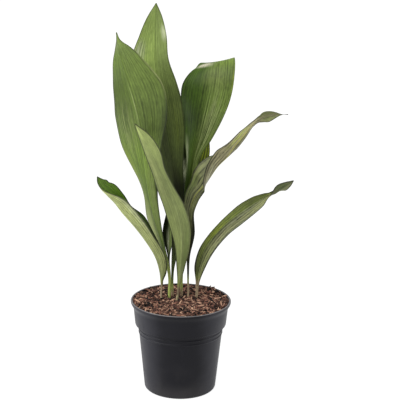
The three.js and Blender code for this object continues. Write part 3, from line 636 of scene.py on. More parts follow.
class LeafFinish(Finish):
    """One leaf's finish in the making: the places on the leaf, and noise drawn out along its veins."""

    def __init__(self, name, look, palette, seed):
        super().__init__(name)
        self.look, self.palette, self.seed = look, palette, seed
        self.share, self.rise, self.front, self.reach, self.run, self.height = (
            self.attribute(key) for key in ("share", "place", "front", "reach", "run", "height"))
        self.strand = self.streaks(15.0, 0.07, 7.0, 3.0)
        self.fine = self.streaks(48.0, 0.14, 9.0)
        self.mottle = self.streaks(7.0, 0.9, 17.0, 4.0)
        sway = self.streaks(2.0, 0.12, 0.0) - 0.5
        vein = self.math("SINE", self.share * (2 * math.pi * look["veins"]) + sway * 10.0) * 0.5 + 0.5
        self.vein = self.step(vein, 0.45, 0.95) * self.step(self.mottle, 0.3, 0.6)

    def streaks(self, across, along, offset, detail=2.0):
        """Noise drawn out along the blade, with finer bands across a blade of more veins."""
        bands = across * self.look["veins"] / 10
        where = self.vector(self.share * bands, self.run * along, self.seed + offset)
        return self.noise(where, 1.0, detail, 0.6)

    def tint(self, name):
        return getattr(self.palette, name)

    def two_tone(self):
        """The blade's tints on its halves and sides, with painted light and shade along it and at its
        margins.
        """
        # The halves' tints are partly lit and shaded copies of one green: painted light and shade.
        tints = [self.tint(name) for name in self.look["tints"]]
        right = self.step(self.share, -self.look["seam"], self.look["seam"])
        blade = self.mix(self.front, self.mix(right, *tints[2:]), self.mix(right, *tints[:2]))
        # Painted light and shade along each half, from the two shades.
        shades = [self.ramp(self.rise, self.look[key]) for key in ("shade_left", "shade_right")]
        blade = self.times(blade, self.mix(right, *shades))
        # Painted shade: the blade is darkened toward gloom near its edge.
        from_margin = self.reach / abs(self.share) - self.reach
        margin = self.look["margin"] * (1 - self.step(from_margin, 0.5, 2.2))
        return self.mix(margin, blade, self.tint("gloom"))

    def spots(self):
        """Gives each soft patch as its share and its tint; some patches are painted light and shade, some
        colour.
        """
        for along, side, long, wide, tint, strength, through in self.look["spots"]:
            here = self.vector(self.rise * (1 / long), self.share * (1 / wide))
            middle = (along / long, side / wide, 0.0)
            gap = self.distance(here, middle) + (self.mottle - 0.5) * 0.5
            near = (1 - self.step(gap, 0.1, 1.0)) * strength
            if not self.look["twists"]:
                near = near * self.front
            if through:
                near = near * ((1 - through) + self.step(self.strand, 0.44, 0.56) * through)
            yield near, self.tint(tint)

    def unevenness(self):
        """The blade's fine texture, as how much lighter or darker it is than its tint."""
        uneven = self.step(self.strand, 0.6, 0.74) * 0.16 - (1 - self.step(self.strand, 0.27, 0.4)) * 0.2
        uneven = uneven - (self.vein - 0.2) * self.look["ribbed"]
        band = self.streaks(7.0, 0.05, 5.0, 3.0)
        cloud = self.streaks(2.2, 0.3, 13.0, 3.0)
        grain = self.streaks(18.0, 1.1, 19.0, 3.0)
        textures = (band, self.strand, cloud, self.mottle, grain, self.fine)
        for texture, depth in zip(textures, (0.8, 0.5, 0.5, 0.7, 0.8, 0.8)):
            uneven = uneven + (texture - 0.5) * depth
        return uneven * self.look["contrast"]

    def midrib(self):
        """The share of the midrib's own tint, a line of about a millimetre that fades out at both ends."""
        begun, ended = (self.step(self.rise, end - 0.05, end + 0.05) for end in self.look["rib_span"])
        line = (1 - self.step(self.reach, 0.2, 1.1)) * begun * (1 - ended)
        return line * self.look["rib_front"] * (0.3 + self.mottle)

    def stalk(self):
        """The share and the colour of the stalk, papery up to the top of its sheath."""
        opening = BLADE_FROM / (len(self.look["rows"]) - 1)
        stalk = 1 - self.step(self.rise, *(share * opening for share in self.look["stalk"]))
        papery = 1 - self.step(self.height, (self.look["sheath"] - 12) * MM, self.look["sheath"] * MM)
        tints = [tuple(self.look["stem"] * c for c in self.tint(name)) for name in ("stalk", "stalk_foot")]
        uneven = 1 + (self.strand - 0.5) * 1.2 + (self.fine - 0.5) * 0.8
        return stalk, self.times(self.mix(papery, *tints), uneven)


def leaf_finish(name, look, palette, seed):
    """A satin leaf, with painted light and shade: two-tone blade, soft spots, midrib, uneven veins, dark
    margins, pale stalk foot.
    """
    leaf = LeafFinish(name, look, palette, seed)
    blade = leaf.layered(leaf.two_tone(), leaf.spots())
    blade = leaf.times(blade, 1 + leaf.unevenness())
    blade = leaf.mix(leaf.midrib(), blade, leaf.tint(look["rib"]))
    stalk, stalk_colour = leaf.stalk()
    relief = leaf.strand * 0.4 + leaf.fine * 0.25 + leaf.vein * 0.2 + leaf.mottle * 0.15
    return leaf.shade({"Base Color": leaf.mix(stalk * 0.85, blade, stalk_colour),
                       "Roughness": 0.36 + leaf.mottle * 0.2 + stalk * 0.1,
                       "Normal": leaf.bump(relief, 0.5 * MM, 0.7), "Specular IOR Level": look["gloss"]})


def sheath_finish(palette):
    """The papery sheath of a rolled new leaf, greener towards its tip, with fine lines along it."""
    finish = Finish("papery sheath")
    place = finish.place()
    lines = finish.noise(finish.stretched(place, (1.0, 1.0, 0.05)), 1800.0, 3.0)
    green = finish.step(finish.part(place, "Z"), *SHEATH_GREENING) * 0.5
    colour = finish.mix(green, palette.stalk_foot, palette.pale)
    colour = finish.times(colour, finish.ramp(lines, ((0.3, 0.55), (0.7, 1))), 0.4)
    return finish.shade({"Base Color": colour, "Roughness": 0.5 + lines * 0.2,
                         "Normal": finish.bump(lines, 0.2 * MM, 0.6)})


def rootstock_finish(palette):
    """Ringed, corky rootstock with pale roots."""
    finish = Finish("corky rootstock")
    place = finish.place()
    rings = finish.noise(finish.stretched(place, (1.0, 0.1, 0.1)), 700.0, 2.0)
    cork = finish.noise(place, 500.0, 4.0, 0.6)
    colour = finish.layered(palette.stalk_foot, ((rings, srgb(112, 84, 58)), (0.4 * cork, srgb(74, 52, 38))))
    return finish.shade({"Base Color": colour, "Roughness": 0.75 + cork * 0.15,
                         "Normal": finish.bump(rings * 0.5 + cork * 0.5, 0.5 * MM, 0.8)})


def floor_finish(settings):
    """A plain pale floor, lit from within so that shadows on it stay faint."""
    finish = Finish("pale floor")
    cloud = finish.noise(finish.place(), 2.0, 2.0)
    colour = finish.mix(cloud * 0.1, tuple(0.12 * c for c in settings.floor), (0.14, 0.14, 0.14))
    return finish.shade({"Base Color": colour, "Roughness": 0.8, "Specular IOR Level": 0.1,
                         "Emission Color": tuple(settings.floor), "Emission Strength": settings.glow})


# Pieces


def smoothstep(low, high, value):
    t = np.clip((value - low) / (high - low), 0.0, 1.0)
    return t * t * (3 - 2 * t)


def placed(name, data):
    """An object of that name in the scene."""
    piece = bpy.data.objects.new(name, data)
    bpy.context.scene.collection.objects.link(piece)
    return piece


def cover(mesh, material):
    mesh.materials.clear()
    mesh.materials.append(material)


def add_mesh(name, points, faces, attributes=None):
    """A mesh object of that name in the scene, with smooth faces but for its sharp edges."""
    mesh = bpy.data.meshes.new(name)
    mesh.from_pydata([tuple(p) for p in points], [], [tuple(int(i) for i in f) for f in faces])
    for key, values in (attributes or {}).items():
        layer = mesh.attributes.new(key, "FLOAT", "POINT")
        layer.data.foreach_set("value", np.asarray(values, np.float32))
    mesh.validate()
    return placed(name, mesh)


def dress(piece, slot, material, crease, nodes=()):
    """Smooth shading up to the crease angle, its finish, its body and what it stands for."""
    mesh = piece.data
    mesh.polygons.foreach_set("use_smooth", [True] * len(mesh.polygons))
    mesh.set_sharp_from_angle(angle=math.radians(crease))
    cover(mesh, material)
    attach(piece, "root")
    if nodes:
        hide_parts(*nodes)
    return piece


def ring_walls(rings, sides, first=0):
    """The faces between neighbouring rings of that many points, which start at the first index."""
    faces = []
    for low in range(first, first + (rings - 1) * sides, sides):
        for i in range(sides):
            j = (i + 1) % sides
            faces.append((low + i, low + j, low + sides + j, low + sides + i))
    return faces


def capped(rings, sides):
    """The faces of a closed strand or slab: its walls and a cap on both ends."""
    top = (rings - 1) * sides
    return [*ring_walls(rings, sides), tuple(range(sides - 1, -1, -1)), tuple(range(top, top + sides))]


def pointed(foot, rings, tip):
    """Points and faces of a closed solid whose rings run from a foot point to a tip point."""
    sides = len(rings[0])
    points = [foot, *(point for ring in rings for point in ring), tip]
    faces = ring_walls(len(rings), sides, 1)
    last = len(points) - 1
    for i in range(sides):
        j = (i + 1) % sides
        faces += [(0, 1 + j, 1 + i), (last, last - sides + i, last - sides + j)]
    return points, faces


def circle(radius, height, sides):
    """Points of a level circle about the pot's axis."""
    angles = [2 * math.pi * i / sides for i in range(sides)]
    return [(radius * math.cos(a), radius * math.sin(a), height) for a in angles]


def turned(profile, sides):
    """Points and faces of a solid of revolution from a profile that starts and ends on the axis."""
    rings = [circle(radius, height, sides) for radius, height in profile[1:-1]]
    return pointed((0.0, 0.0, profile[0][1]), rings, (0.0, 0.0, profile[-1][1]))


def arc(centre, radius, start, end, steps):
    """Profile points along an arc, with angles in degrees from the outward direction."""
    angles = [math.radians(start + (end - start) * i / steps) for i in range(steps + 1)]
    return [(centre[0] + radius * math.cos(a), centre[1] + radius * math.sin(a)) for a in angles]


# Pot

BODY_FOOT_RADIUS = 53.6 * MM
BODY_TAPER = 0.1
FOOT_ROUNDING = 4 * MM
COLLAR_FOOT = 101.5 * MM
COLLAR_FOOT_RADIUS = 68.4 * MM
LIP_BEAD = 1.5 * MM
FLARE_PLACES = ((70.7, 125.5), (71.1, 127.6), (72.0, 129.8), (73.2, 131.9), (74.2, 133.6), (74.9, 135.4))
LIP_FLARE = tuple((radius * MM, height * MM) for radius, height in FLARE_PLACES)
RING_HEIGHTS = (88.9 * MM, 94.9 * MM)
RING_HALF_WIDTH = 1.5 * MM
RING_PROUD = 0.8 * MM
STEP_SLOPE = 2 * MM
DRAIN_HOLES = 8
DRAIN_CIRCLE = 36 * MM
DRAIN_RADIUS = 4.5 * MM
DRAIN_SIDES = 32


def body_radius(height):
    return BODY_FOOT_RADIUS + BODY_TAPER * height


def pot_profile(settings):
    """The pot's section, up its outside and down its inside."""
    rim, top, wall = settings.rim_radius, settings.height, settings.wall
    foot = arc((body_radius(FOOT_ROUNDING) - FOOT_ROUNDING, FOOT_ROUNDING), FOOT_ROUNDING, -90, 0, 8)
    rings = []
    for height in RING_HEIGHTS:
        for share in (-1, -0.7, -0.35, 0, 0.35, 0.7, 1):
            z = height + share * RING_HALF_WIDTH
            rings.append((body_radius(z) + RING_PROUD * math.cos(share * math.pi / 2) ** 0.7, z))
    shoulder = [
        (body_radius(COLLAR_FOOT - 3 * MM), COLLAR_FOOT - 3 * MM),
        (body_radius(COLLAR_FOOT) + 0.6 * MM, COLLAR_FOOT - 0.8 * MM),
        (body_radius(COLLAR_FOOT) + 1.6 * MM, COLLAR_FOOT),
        (COLLAR_FOOT_RADIUS - 1.0 * MM, COLLAR_FOOT + 0.2 * MM),
        (COLLAR_FOOT_RADIUS - 0.3 * MM, COLLAR_FOOT + 0.7 * MM),
        (COLLAR_FOOT_RADIUS, COLLAR_FOOT + 1.6 * MM),
    ]
    bead = arc((rim - LIP_BEAD, top - LIP_BEAD), LIP_BEAD, -20, 170, 16)
    flare_inside = [(radius - 1.15 * wall, height + 0.5 * wall) for radius, height in reversed(LIP_FLARE)]
    inside = [
        (COLLAR_FOOT_RADIUS - wall, COLLAR_FOOT + STEP_SLOPE),
        (body_radius(COLLAR_FOOT) - wall, COLLAR_FOOT),
        (body_radius(FOOT_ROUNDING) - wall, settings.floor + 3 * MM),
        (body_radius(FOOT_ROUNDING) - wall - 1 * MM, settings.floor + 0.8 * MM),
        (body_radius(FOOT_ROUNDING) - wall - 3 * MM, settings.floor),
    ]
    outside = [(0.0, 0.0), *foot, *rings, *shoulder, *LIP_FLARE, *bead]
    return [*outside, *flare_inside, *inside, (0.0, settings.floor)]


def drilled(piece, cutter):
    """Cuts the cutter out of the piece for good."""
    cut = piece.modifiers.new("drain holes", "BOOLEAN")
    cut.operation = "DIFFERENCE"
    cut.solver = "EXACT"
    cut.object = cutter
    depsgraph = bpy.context.evaluated_depsgraph_get()
    mesh = bpy.data.meshes.new_from_object(piece.evaluated_get(depsgraph))
    piece.modifiers.clear()
    piece.data = mesh
    bpy.data.objects.remove(cutter)


class PLANT_OT_pot(bpy.types.Operator):
    """Turns the pot with its rings, collar, flared lip and drain holes"""

    bl_idname = "plant.pot"
    bl_label = "Pot"

    def execute(self, context):
        settings = context.scene.potted_plant.pot
        points, faces = turned(pot_profile(settings), settings.sides)
        pot = add_mesh("nursery_pot", points, faces)
        drill_points, drill_faces = [], []
        for i in range(DRAIN_HOLES):
            angle = 2 * math.pi * (i + 0.5) / DRAIN_HOLES
            x, y = DRAIN_CIRCLE * math.cos(angle), DRAIN_CIRCLE * math.sin(angle)
            depth = 2 * settings.floor
            profile = [(0, -depth), (DRAIN_RADIUS, -depth), (DRAIN_RADIUS, 2 * depth), (0, 2 * depth)]
            points, faces = turned(profile, DRAIN_SIDES)
            first = len(drill_points)
            drill_points += [(x + p[0], y + p[1], p[2]) for p in points]
            drill_faces += [tuple(first + k for k in face) for face in faces]
        drilled(pot, add_mesh("drill", drill_points, drill_faces))
        dress(pot, "pot_plastic", plastic_finish(settings), crease=34.0, nodes=["pot"])
        return {"FINISHED"}


# Compost

SOIL_MIDDLE = 132.7 * MM
SOIL_EDGE_RISE = 2.7 * MM
MOUTH_RADIUS = 72 * MM
HEAP = dict(x=46 * MM, y=45 * MM, height=4 * MM, radius=15 * MM)
WALL_CLEARANCE = 0.5 * MM
FLARE_INSET = 1.5 * MM
FLARE_RAISE = 0.5 * MM
BED_RINGS = 46
BED_SIDES = 150
CHIP_CORNERS = 8
CHIP_OVERHANG = 0.3  # the share of its length by which a chip stays off the stalks besides its gap
CHIP_LEVELS = ((0.72, -0.5), (1.0, -0.22), (0.97, 0.24), (0.7, 0.5))
FIBRE_STEPS = 7
FIBRE_SIDES = 3

# Loose bits, in millimetres and radians. A size is the least, how much may come on top and, where small
# bits are the more common, a power. inset is the way in from the mouth's edge, gap the room left round each
# stalk, tip the most that a bit leans, and tone the mean and the spread of its place in the bark's colours.
CHIPS = dict(inset=2, jitter=0.6, length=(5, 12, 1.6), width=(1, 2.4, 1.6), depth=(0.9, 1.5),
             lift=(0.9, 1.7), gap=2.6, tip=0.5, tone=(0.42, 0.48))
CRUMBS = dict(inset=1.5, size=(2, 2.4), lift=(0.6, 1.6), gap=3.6, tip=1.2, tone=(0.26, 0.24))
FIBRES = dict(inset=6, length=(7, 9), thickness=(0.2, 0.25), tip_share=0.35, lift=0.8, arch=2, sway=0.7,
              tone=(0.7, 0.15))


def soil_height(x, y):
    """Height of the compost: dished about the stalks, with soft lumps and a heap at the back right."""
    reach = math.hypot(x, y) / MOUTH_RADIUS
    a, b = x / MM, y / MM
    lumps = 0.7 * math.sin(0.16 * a + 1.1) * math.cos(0.19 * b - 0.6) + 0.5 * math.sin(0.31 * a - 0.27 * b)
    from_heap = ((x - HEAP["x"]) ** 2 + (y - HEAP["y"]) ** 2) / HEAP["radius"] ** 2
    return SOIL_MIDDLE + SOIL_EDGE_RISE * reach ** 4 + lumps * MM + HEAP["height"] * math.exp(-from_heap)


def bed_height(x, y):
    """Height of the bed under the loose bits, with lumps of about 6 mm and grains of about 2 mm."""
    lump = noise.noise(Vector((x, y, 0)) / (6 * MM))
    grain = noise.noise(Vector((x, y, 9)) / (2 * MM))
    return soil_height(x, y) + (1.1 * lump + 0.7 * grain) * MM


def inner_radius(pot, height):
    """Radius of the pot's inner wall above the step."""
    heights = [COLLAR_FOOT, *[h + FLARE_RAISE for r, h in LIP_FLARE], pot.height - LIP_BEAD]
    radii = [COLLAR_FOOT_RADIUS - pot.wall, *[r - FLARE_INSET for r, h in LIP_FLARE], MOUTH_RADIUS]
    return float(np.interp(height, heights, radii))


def stalk_places():
    """Where each stalk passes the compost's surface."""
    places = []
    for look in LEAVES.values():
        foot, knee = look["rows"][:2]
        share = (SOIL_MIDDLE / MM - foot[2]) / (knee[2] - foot[2])
        places.append(tuple((foot[k] + share * (knee[k] - foot[k])) * MM for k in (0, 1)))
    places.append((SHOOT["x"], SHOOT["y"]))
    return places


class Scatter:
    """Gathers many small closed solids in one mesh, each with its own tone."""

    def __init__(self, pot, stalks=()):
        self.points, self.faces, self.tones = [], [], []
        self.pot = pot
        self.stalks = stalks

    def clear_of_stalks(self, x, y, distance):
        return all(math.hypot(x - sx, y - sy) > distance for sx, sy in self.stalks)

    def add(self, points, faces, tone):
        """Adds one solid, its corners held inside the pot's wall and its tone between dark and tan."""
        first = len(self.points)
        for point in points:
            limit = inner_radius(self.pot, point.z) - WALL_CLEARANCE
            reach = math.hypot(point.x, point.y)
            if reach > limit:
                point = Vector((point.x * limit / reach, point.y * limit / reach, point.z))
            self.points.append(point)
        self.faces += [tuple(first + k for k in face) for face in faces]
        self.tones += [min(1.0, max(0.0, tone))] * len(points)

    def piece(self, name, bark, crease):
        """Makes one piece of all that was gathered."""
        dress(add_mesh(name, self.points, self.faces, {"tone": self.tones}), "bark_compost", bark, crease)


def drawn(rng, least, more, power=1.0):
    """A random length in metres: the least in millimetres and, on top of it, up to so many more."""
    return (least + more * rng.random() ** power) * MM


def spread(count, radius, rng, jitter=1.0):
    """Places in a spiral of equal shares of a disc, each moved a little."""
    golden = math.pi * (3 - math.sqrt(5))
    for i in range(count):
        reach = radius * math.sqrt((i + 0.5 + jitter * (rng.random() - 0.5)) / count)
        angle = i * golden + jitter * (rng.random() - 0.5)
        yield reach * math.cos(angle), reach * math.sin(angle)


def chip_solid(rng, length, width, depth):
    """A bark chip: an uneven oblong slab with a bevelled edge, about its own middle."""
    outline = []
    for i in range(CHIP_CORNERS):
        angle = 2 * math.pi * (i + 0.3 * (rng.random() - 0.5)) / CHIP_CORNERS
        square = 1 / max(abs(math.cos(angle)), abs(math.sin(angle))) ** 0.55
        reach = square * (0.82 + 0.3 * rng.random())
        outline.append((0.5 * length * reach * math.cos(angle), 0.5 * width * reach * math.sin(angle)))
    points = []
    bend = 0.25 * depth * (rng.random() - 0.3)
    for inset, height in CHIP_LEVELS:
        for x, y in outline:
            lift = height * depth * (0.75 + 0.5 * rng.random()) - bend * (2 * x / length) ** 2
            points.append(Vector((inset * x, inset * y, lift)))
    return points, capped(len(CHIP_LEVELS), CHIP_CORNERS)


def crumb_solid(rng, size):
    """A small uneven lump with eight faces cut from an octahedron, about its own middle."""
    points = [Vector(p) * size * (0.35 + 0.3 * rng.random())
              for p in ((1, 0, 0), (0, 1, 0), (-1, 0, 0), (0, -1, 0), (0, 0, 0.8), (0, 0, -0.8))]
    faces = [face for i in range(4) for face in ((i, (i + 1) % 4, 4), ((i + 1) % 4, i, 5))]
    return points, faces


def fibre_solid(rng, place, heading, length, thickness):
    """A coir fibre: a thin three-sided strand that wanders over the compost from its first place."""
    points = []
    for k in range(FIBRE_STEPS + 1):
        along = Vector((math.cos(heading), math.sin(heading), 0))
        side = Vector((-along.y, along.x, 0))
        slim = thickness * (1.0 if 0 < k < FIBRE_STEPS else FIBRES["tip_share"])
        for corner in range(FIBRE_SIDES):
            angle = 2 * math.pi * corner / FIBRE_SIDES
            points.append(place + slim * (math.cos(angle) * side + math.sin(angle) * Vector((0, 0, 1))))
        heading += FIBRES["sway"] * (rng.random() - 0.5)
        place = place + along * length / FIBRE_STEPS
        arch = FIBRES["arch"] * math.sin(math.pi * k / FIBRE_STEPS)
        place.z = soil_height(place.x, place.y) + (FIBRES["lift"] + arch) * MM
    return points, capped(FIBRE_STEPS + 1, FIBRE_SIDES)


def tumbled(points, rng, tip, place):
    """Points tipped and spun at random, then moved to their place."""
    spin = Matrix.Rotation(2 * math.pi * rng.random(), 3, "Z")
    tilt = Matrix.Rotation(tip * (2 * rng.random() - 1), 3, "X")
    tilt = tilt @ Matrix.Rotation(tip * (2 * rng.random() - 1), 3, "Y")
    return [Vector(place) + spin @ (tilt @ p) for p in points]


class PLANT_OT_compost(bpy.types.Operator):
    """Fills the pot with a rough bed of compost, then scatters bark chips, crumbs and coir fibres on it"""

    bl_idname = "plant.compost"
    bl_label = "Compost"

    def execute(self, context):
        settings = context.scene.potted_plant.compost
        pot = context.scene.potted_plant.pot
        rng = random.Random(settings.seed)
        bark = bark_finish(settings)
        self.bed(pot, bark)
        self.chips(Scatter(pot, stalk_places()), settings.chips, rng).piece("bark_chips", bark, 30.0)
        self.crumbs(Scatter(pot, stalk_places()), settings.crumbs, rng).piece("bark_crumbs", bark, 30.0)
        self.fibres(Scatter(pot), settings.fibres, rng).piece("coir_fibres", bark, 80.0)
        return {"FINISHED"}

    def bed(self, pot, bark):
        wall = pot.wall + WALL_CLEARANCE
        mouth = LIP_FLARE[0][1]
        profile = [
            (body_radius(FOOT_ROUNDING) - pot.wall - 4 * MM, pot.floor + 0.4 * MM),
            (body_radius(FOOT_ROUNDING) - wall, pot.floor + 4 * MM),
            (body_radius(COLLAR_FOOT) - wall, COLLAR_FOOT + 0.4 * MM),
            (COLLAR_FOOT_RADIUS - wall, COLLAR_FOOT + STEP_SLOPE + 0.4 * MM),
            (inner_radius(pot, mouth) - WALL_CLEARANCE, mouth),
        ]
        rings = [circle(radius, height, BED_SIDES) for radius, height in profile]
        edge = MOUTH_RADIUS - WALL_CLEARANCE
        for k in range(BED_RINGS, 0, -1):
            level = circle(edge * k / BED_RINGS, 0.0, BED_SIDES)
            rings.append([(x, y, bed_height(x, y)) for x, y, z in level])
        points, faces = pointed((0.0, 0.0, profile[0][1]), rings, (0.0, 0.0, soil_height(0, 0)))
        # The bed keeps to the dark end of the bark: darker fine compost, and painted shade in the gaps
        # between the bits.
        tones = [0.06 + 0.16 * noise.noise(Vector(p) / (9 * MM)) for p in points]
        bed = add_mesh("compost_bed", points, faces, {"tone": tones})
        dress(bed, "bark_compost", bark, crease=80.0, nodes=["soil"])

    def chips(self, scatter, count, rng):
        for x, y in spread(count, MOUTH_RADIUS - CHIPS["inset"] * MM, rng, CHIPS["jitter"]):
            length, width, depth = (drawn(rng, *CHIPS[key]) for key in ("length", "width", "depth"))
            tone = rng.gauss(*CHIPS["tone"])
            points, faces = chip_solid(rng, length, min(length, width), depth)
            place = (x, y, soil_height(x, y) + drawn(rng, *CHIPS["lift"]))
            points = tumbled(points, rng, CHIPS["tip"], place)
            if scatter.clear_of_stalks(x, y, CHIPS["gap"] * MM + CHIP_OVERHANG * length):
                scatter.add(points, faces, tone)
        return scatter

    def crumbs(self, scatter, count, rng):
        for x, y in spread(count, MOUTH_RADIUS - CRUMBS["inset"] * MM, rng):
            points, faces = crumb_solid(rng, drawn(rng, *CRUMBS["size"]))
            tone = rng.gauss(*CRUMBS["tone"])
            place = (x, y, soil_height(x, y) + drawn(rng, *CRUMBS["lift"]))
            points = tumbled(points, rng, CRUMBS["tip"], place)
            if scatter.clear_of_stalks(x, y, CRUMBS["gap"] * MM):
                scatter.add(points, faces, tone)
        return scatter

    def fibres(self, scatter, count, rng):
        for x, y in spread(count, MOUTH_RADIUS - FIBRES["inset"] * MM, rng):
            length, thickness = (drawn(rng, *FIBRES[key]) for key in ("length", "thickness"))
            start = Vector((x, y, soil_height(x, y) + FIBRES["lift"] * MM))
            points, faces = fibre_solid(rng, start, 2 * math.pi * rng.random(), length, thickness)
            scatter.add(points, faces, rng.gauss(*FIBRES["tone"]))
        return scatter


# Shoot and rootstock

SHOOT = dict(x=-7.5 * MM, y=7 * MM, foot=112 * MM, tip=143 * MM, radius=2.4 * MM, lean=2 * MM)
SHOOT_RINGS = 40
SHOOT_SIDES = 24
WRAP_TURNS = 0.9
WRAP_DEPTH = 0.14


def shoot_ring(rise):
    """Points round the shoot at a share of its height: slimmer above half way, thicker along the wrap."""
    slim = math.sqrt(max(0.0, 1 - max(0.0, (rise - 0.5) / 0.5) ** 1.6))
    radius = SHOOT["radius"] * (0.8 + 0.2 * rise) * slim
    middle = SHOOT["x"] + SHOOT["lean"] * rise ** 2
    height = SHOOT["foot"] + (SHOOT["tip"] - SHOOT["foot"]) * rise
    ring = []
    for i in range(SHOOT_SIDES):
        angle = 2 * math.pi * i / SHOOT_SIDES
        wrap = (angle / (2 * math.pi) + WRAP_TURNS * rise) % 1.0
        here = radius * (1 - WRAP_DEPTH + WRAP_DEPTH * wrap)
        ring.append((middle + here * math.cos(angle), SHOOT["y"] + here * math.sin(angle), height))
    return ring


class PLANT_OT_shoot(bpy.types.Operator):
    """Rolls the new leaf in its sheath, with the wrap's edge winding up it"""

    bl_idname = "plant.shoot"
    bl_label = "New shoot"

    def execute(self, context):
        foot = (SHOOT["x"], SHOOT["y"], SHOOT["foot"])
        tip = (SHOOT["x"] + SHOOT["lean"], SHOOT["y"], SHOOT["tip"])
        rings = [shoot_ring(r / SHOOT_RINGS) for r in range(SHOOT_RINGS)]
        shoot = add_mesh("rolled_new_leaf", *pointed(foot, rings, tip))
        sheath = sheath_finish(context.scene.potted_plant.leaves)
        dress(shoot, "leaf_sheath", sheath, crease=50.0, nodes=["new_shoot"])
        return {"FINISHED"}


class PLANT_OT_rootstock(bpy.types.Operator):
    """Gives the rootstock in the compost its corky finish"""

    bl_idname = "plant.rootstock"
    bl_label = "Rootstock"

    def execute(self, context):
        cover(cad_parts["rhizome"].data, rootstock_finish(context.scene.potted_plant.leaves))
        return {"FINISHED"}


# Leaves


def rows_between(rows):
    """Places along the leaf and all the rows' columns there, by a smooth curve through the rows."""
    rows = np.array(rows, float)
    padded = np.vstack([2 * rows[0] - rows[1], rows, 2 * rows[-1] - rows[-2]])
    place = np.arange((len(rows) - 1) * ROW_STEPS + 1) / ROW_STEPS
    first = np.minimum(place.astype(int), len(rows) - 2)
    f = (place - first)[:, None]
    before, here, after, beyond = (padded[first + k] for k in range(4))
    columns = 0.5 * (2 * here + (after - before) * f + (2 * before - 5 * here + 4 * after - beyond) * f ** 2
                     + (3 * here - before - 3 * after + beyond) * f ** 3)
    return place, columns


def unit(vectors):
    return vectors / np.linalg.norm(vectors, axis=-1, keepdims=True)


def carried_sides(along):
    """A sideways direction at each station, carried up the midrib from +X without spinning about it."""
    sides = np.empty_like(along)
    side = np.array([1.0, 0.0, 0.0])
    for k, direction in enumerate(along):
        side = unit(side - side @ direction * direction)
        sides[k] = side
    return sides


def leaf_thickness(look, share, width, stalk, to_tip):
    """How far the front and the back stand off a leaf's middle sheet: keel, groove, margins and stalk."""
    away = np.abs(share)
    reach = width * away
    half = 0.5 * (BLADE_THICKNESS + (MARGIN_THICKNESS - BLADE_THICKNESS) * smoothstep(0.8, 1.0, away))
    slim = (1 - 0.8 * to_tip)[:, None]
    keel = KEEL_HEIGHT * slim * (1 - smoothstep(0.0, KEEL_HALF_WIDTH, reach))
    groove = GROOVE_DEPTH * slim * (1 - smoothstep(0.0, 0.5 * KEEL_HALF_WIDTH, reach))
    girth = np.minimum(width, STALK_GIRTH)
    rounded = STALK_SKIN + STALK_DEPTH * girth * np.sqrt(np.maximum(0, 1 - share ** 2))
    channel = CHANNEL_DEPTH * girth * np.maximum(0, 1 - (2 * share) ** 2)
    under = (1 - stalk) * (half + keel) + stalk * rounded
    upper = (1 - stalk) * (half - groove) + stalk * (rounded - channel)
    return (under, upper) if look["keel"] > 0 else (upper, under)


def leaf_faces(stations, count):
    """The faces round a leaf's section from station to station, and strips that close its foot and tip."""
    index = np.arange(stations * count).reshape(stations, count)
    ahead = np.roll(index, -1, axis=1)
    walls = np.stack([index[:-1], ahead[:-1], ahead[1:], index[1:]], axis=-1).reshape(-1, 4)
    i = np.arange(count // 2 - 1)
    foot = np.stack([i, count - 1 - i, count - 2 - i, i + 1], axis=-1)
    tip = index[-1, 0] + foot[:, ::-1]
    return [*walls, *foot, *tip]


def midrib_frame(columns):
    """The midrib's points, the direction across the blade and the way that the blade faces."""
    middle = columns[:, :3] * MM
    along = unit(np.gradient(middle, axis=0))
    side = carried_sides(along)
    facing = np.cross(side, along)
    turn = np.radians(columns[:, 5:6])
    return middle, np.cos(turn) * side + np.sin(turn) * facing, np.cos(turn) * facing - np.sin(turn) * side


def leaf_relief(look, place, run, share, width, fold, stalk):
    """How far the blade lies off its folded halves: arched, rippled at the margins and finely pleated."""
    last, phase = len(look["rows"]) - 1, look["phase"]
    away = np.abs(share)
    ripple = look["wave"] * MM * np.sin(2 * np.pi * run / WAVE_LENGTH + phase)
    ripple *= smoothstep(BLADE_FROM, BLADE_FROM + 3, place) * (1 - smoothstep(last - 3, last, place))
    drift = 0.9 * np.sin(run / DRIFT_LENGTH + phase)[:, None] + 0.8 * np.sin(5 * share + phase)
    pleat = PLEAT_DEPTH * np.sin(2 * np.pi * PLEATS * away + drift) * smoothstep(0.05, 0.2, away)
    pleat *= (1 - smoothstep(0.85, 0.98, away)) * (1 - stalk) * np.minimum(width / FULLY_PLEATED_WIDTH, 1)
    arch = ARCH * np.sin(fold) * width * away * (1 - away)
    return np.sign(share) * ripple[:, None] * away ** 2 + pleat - arch


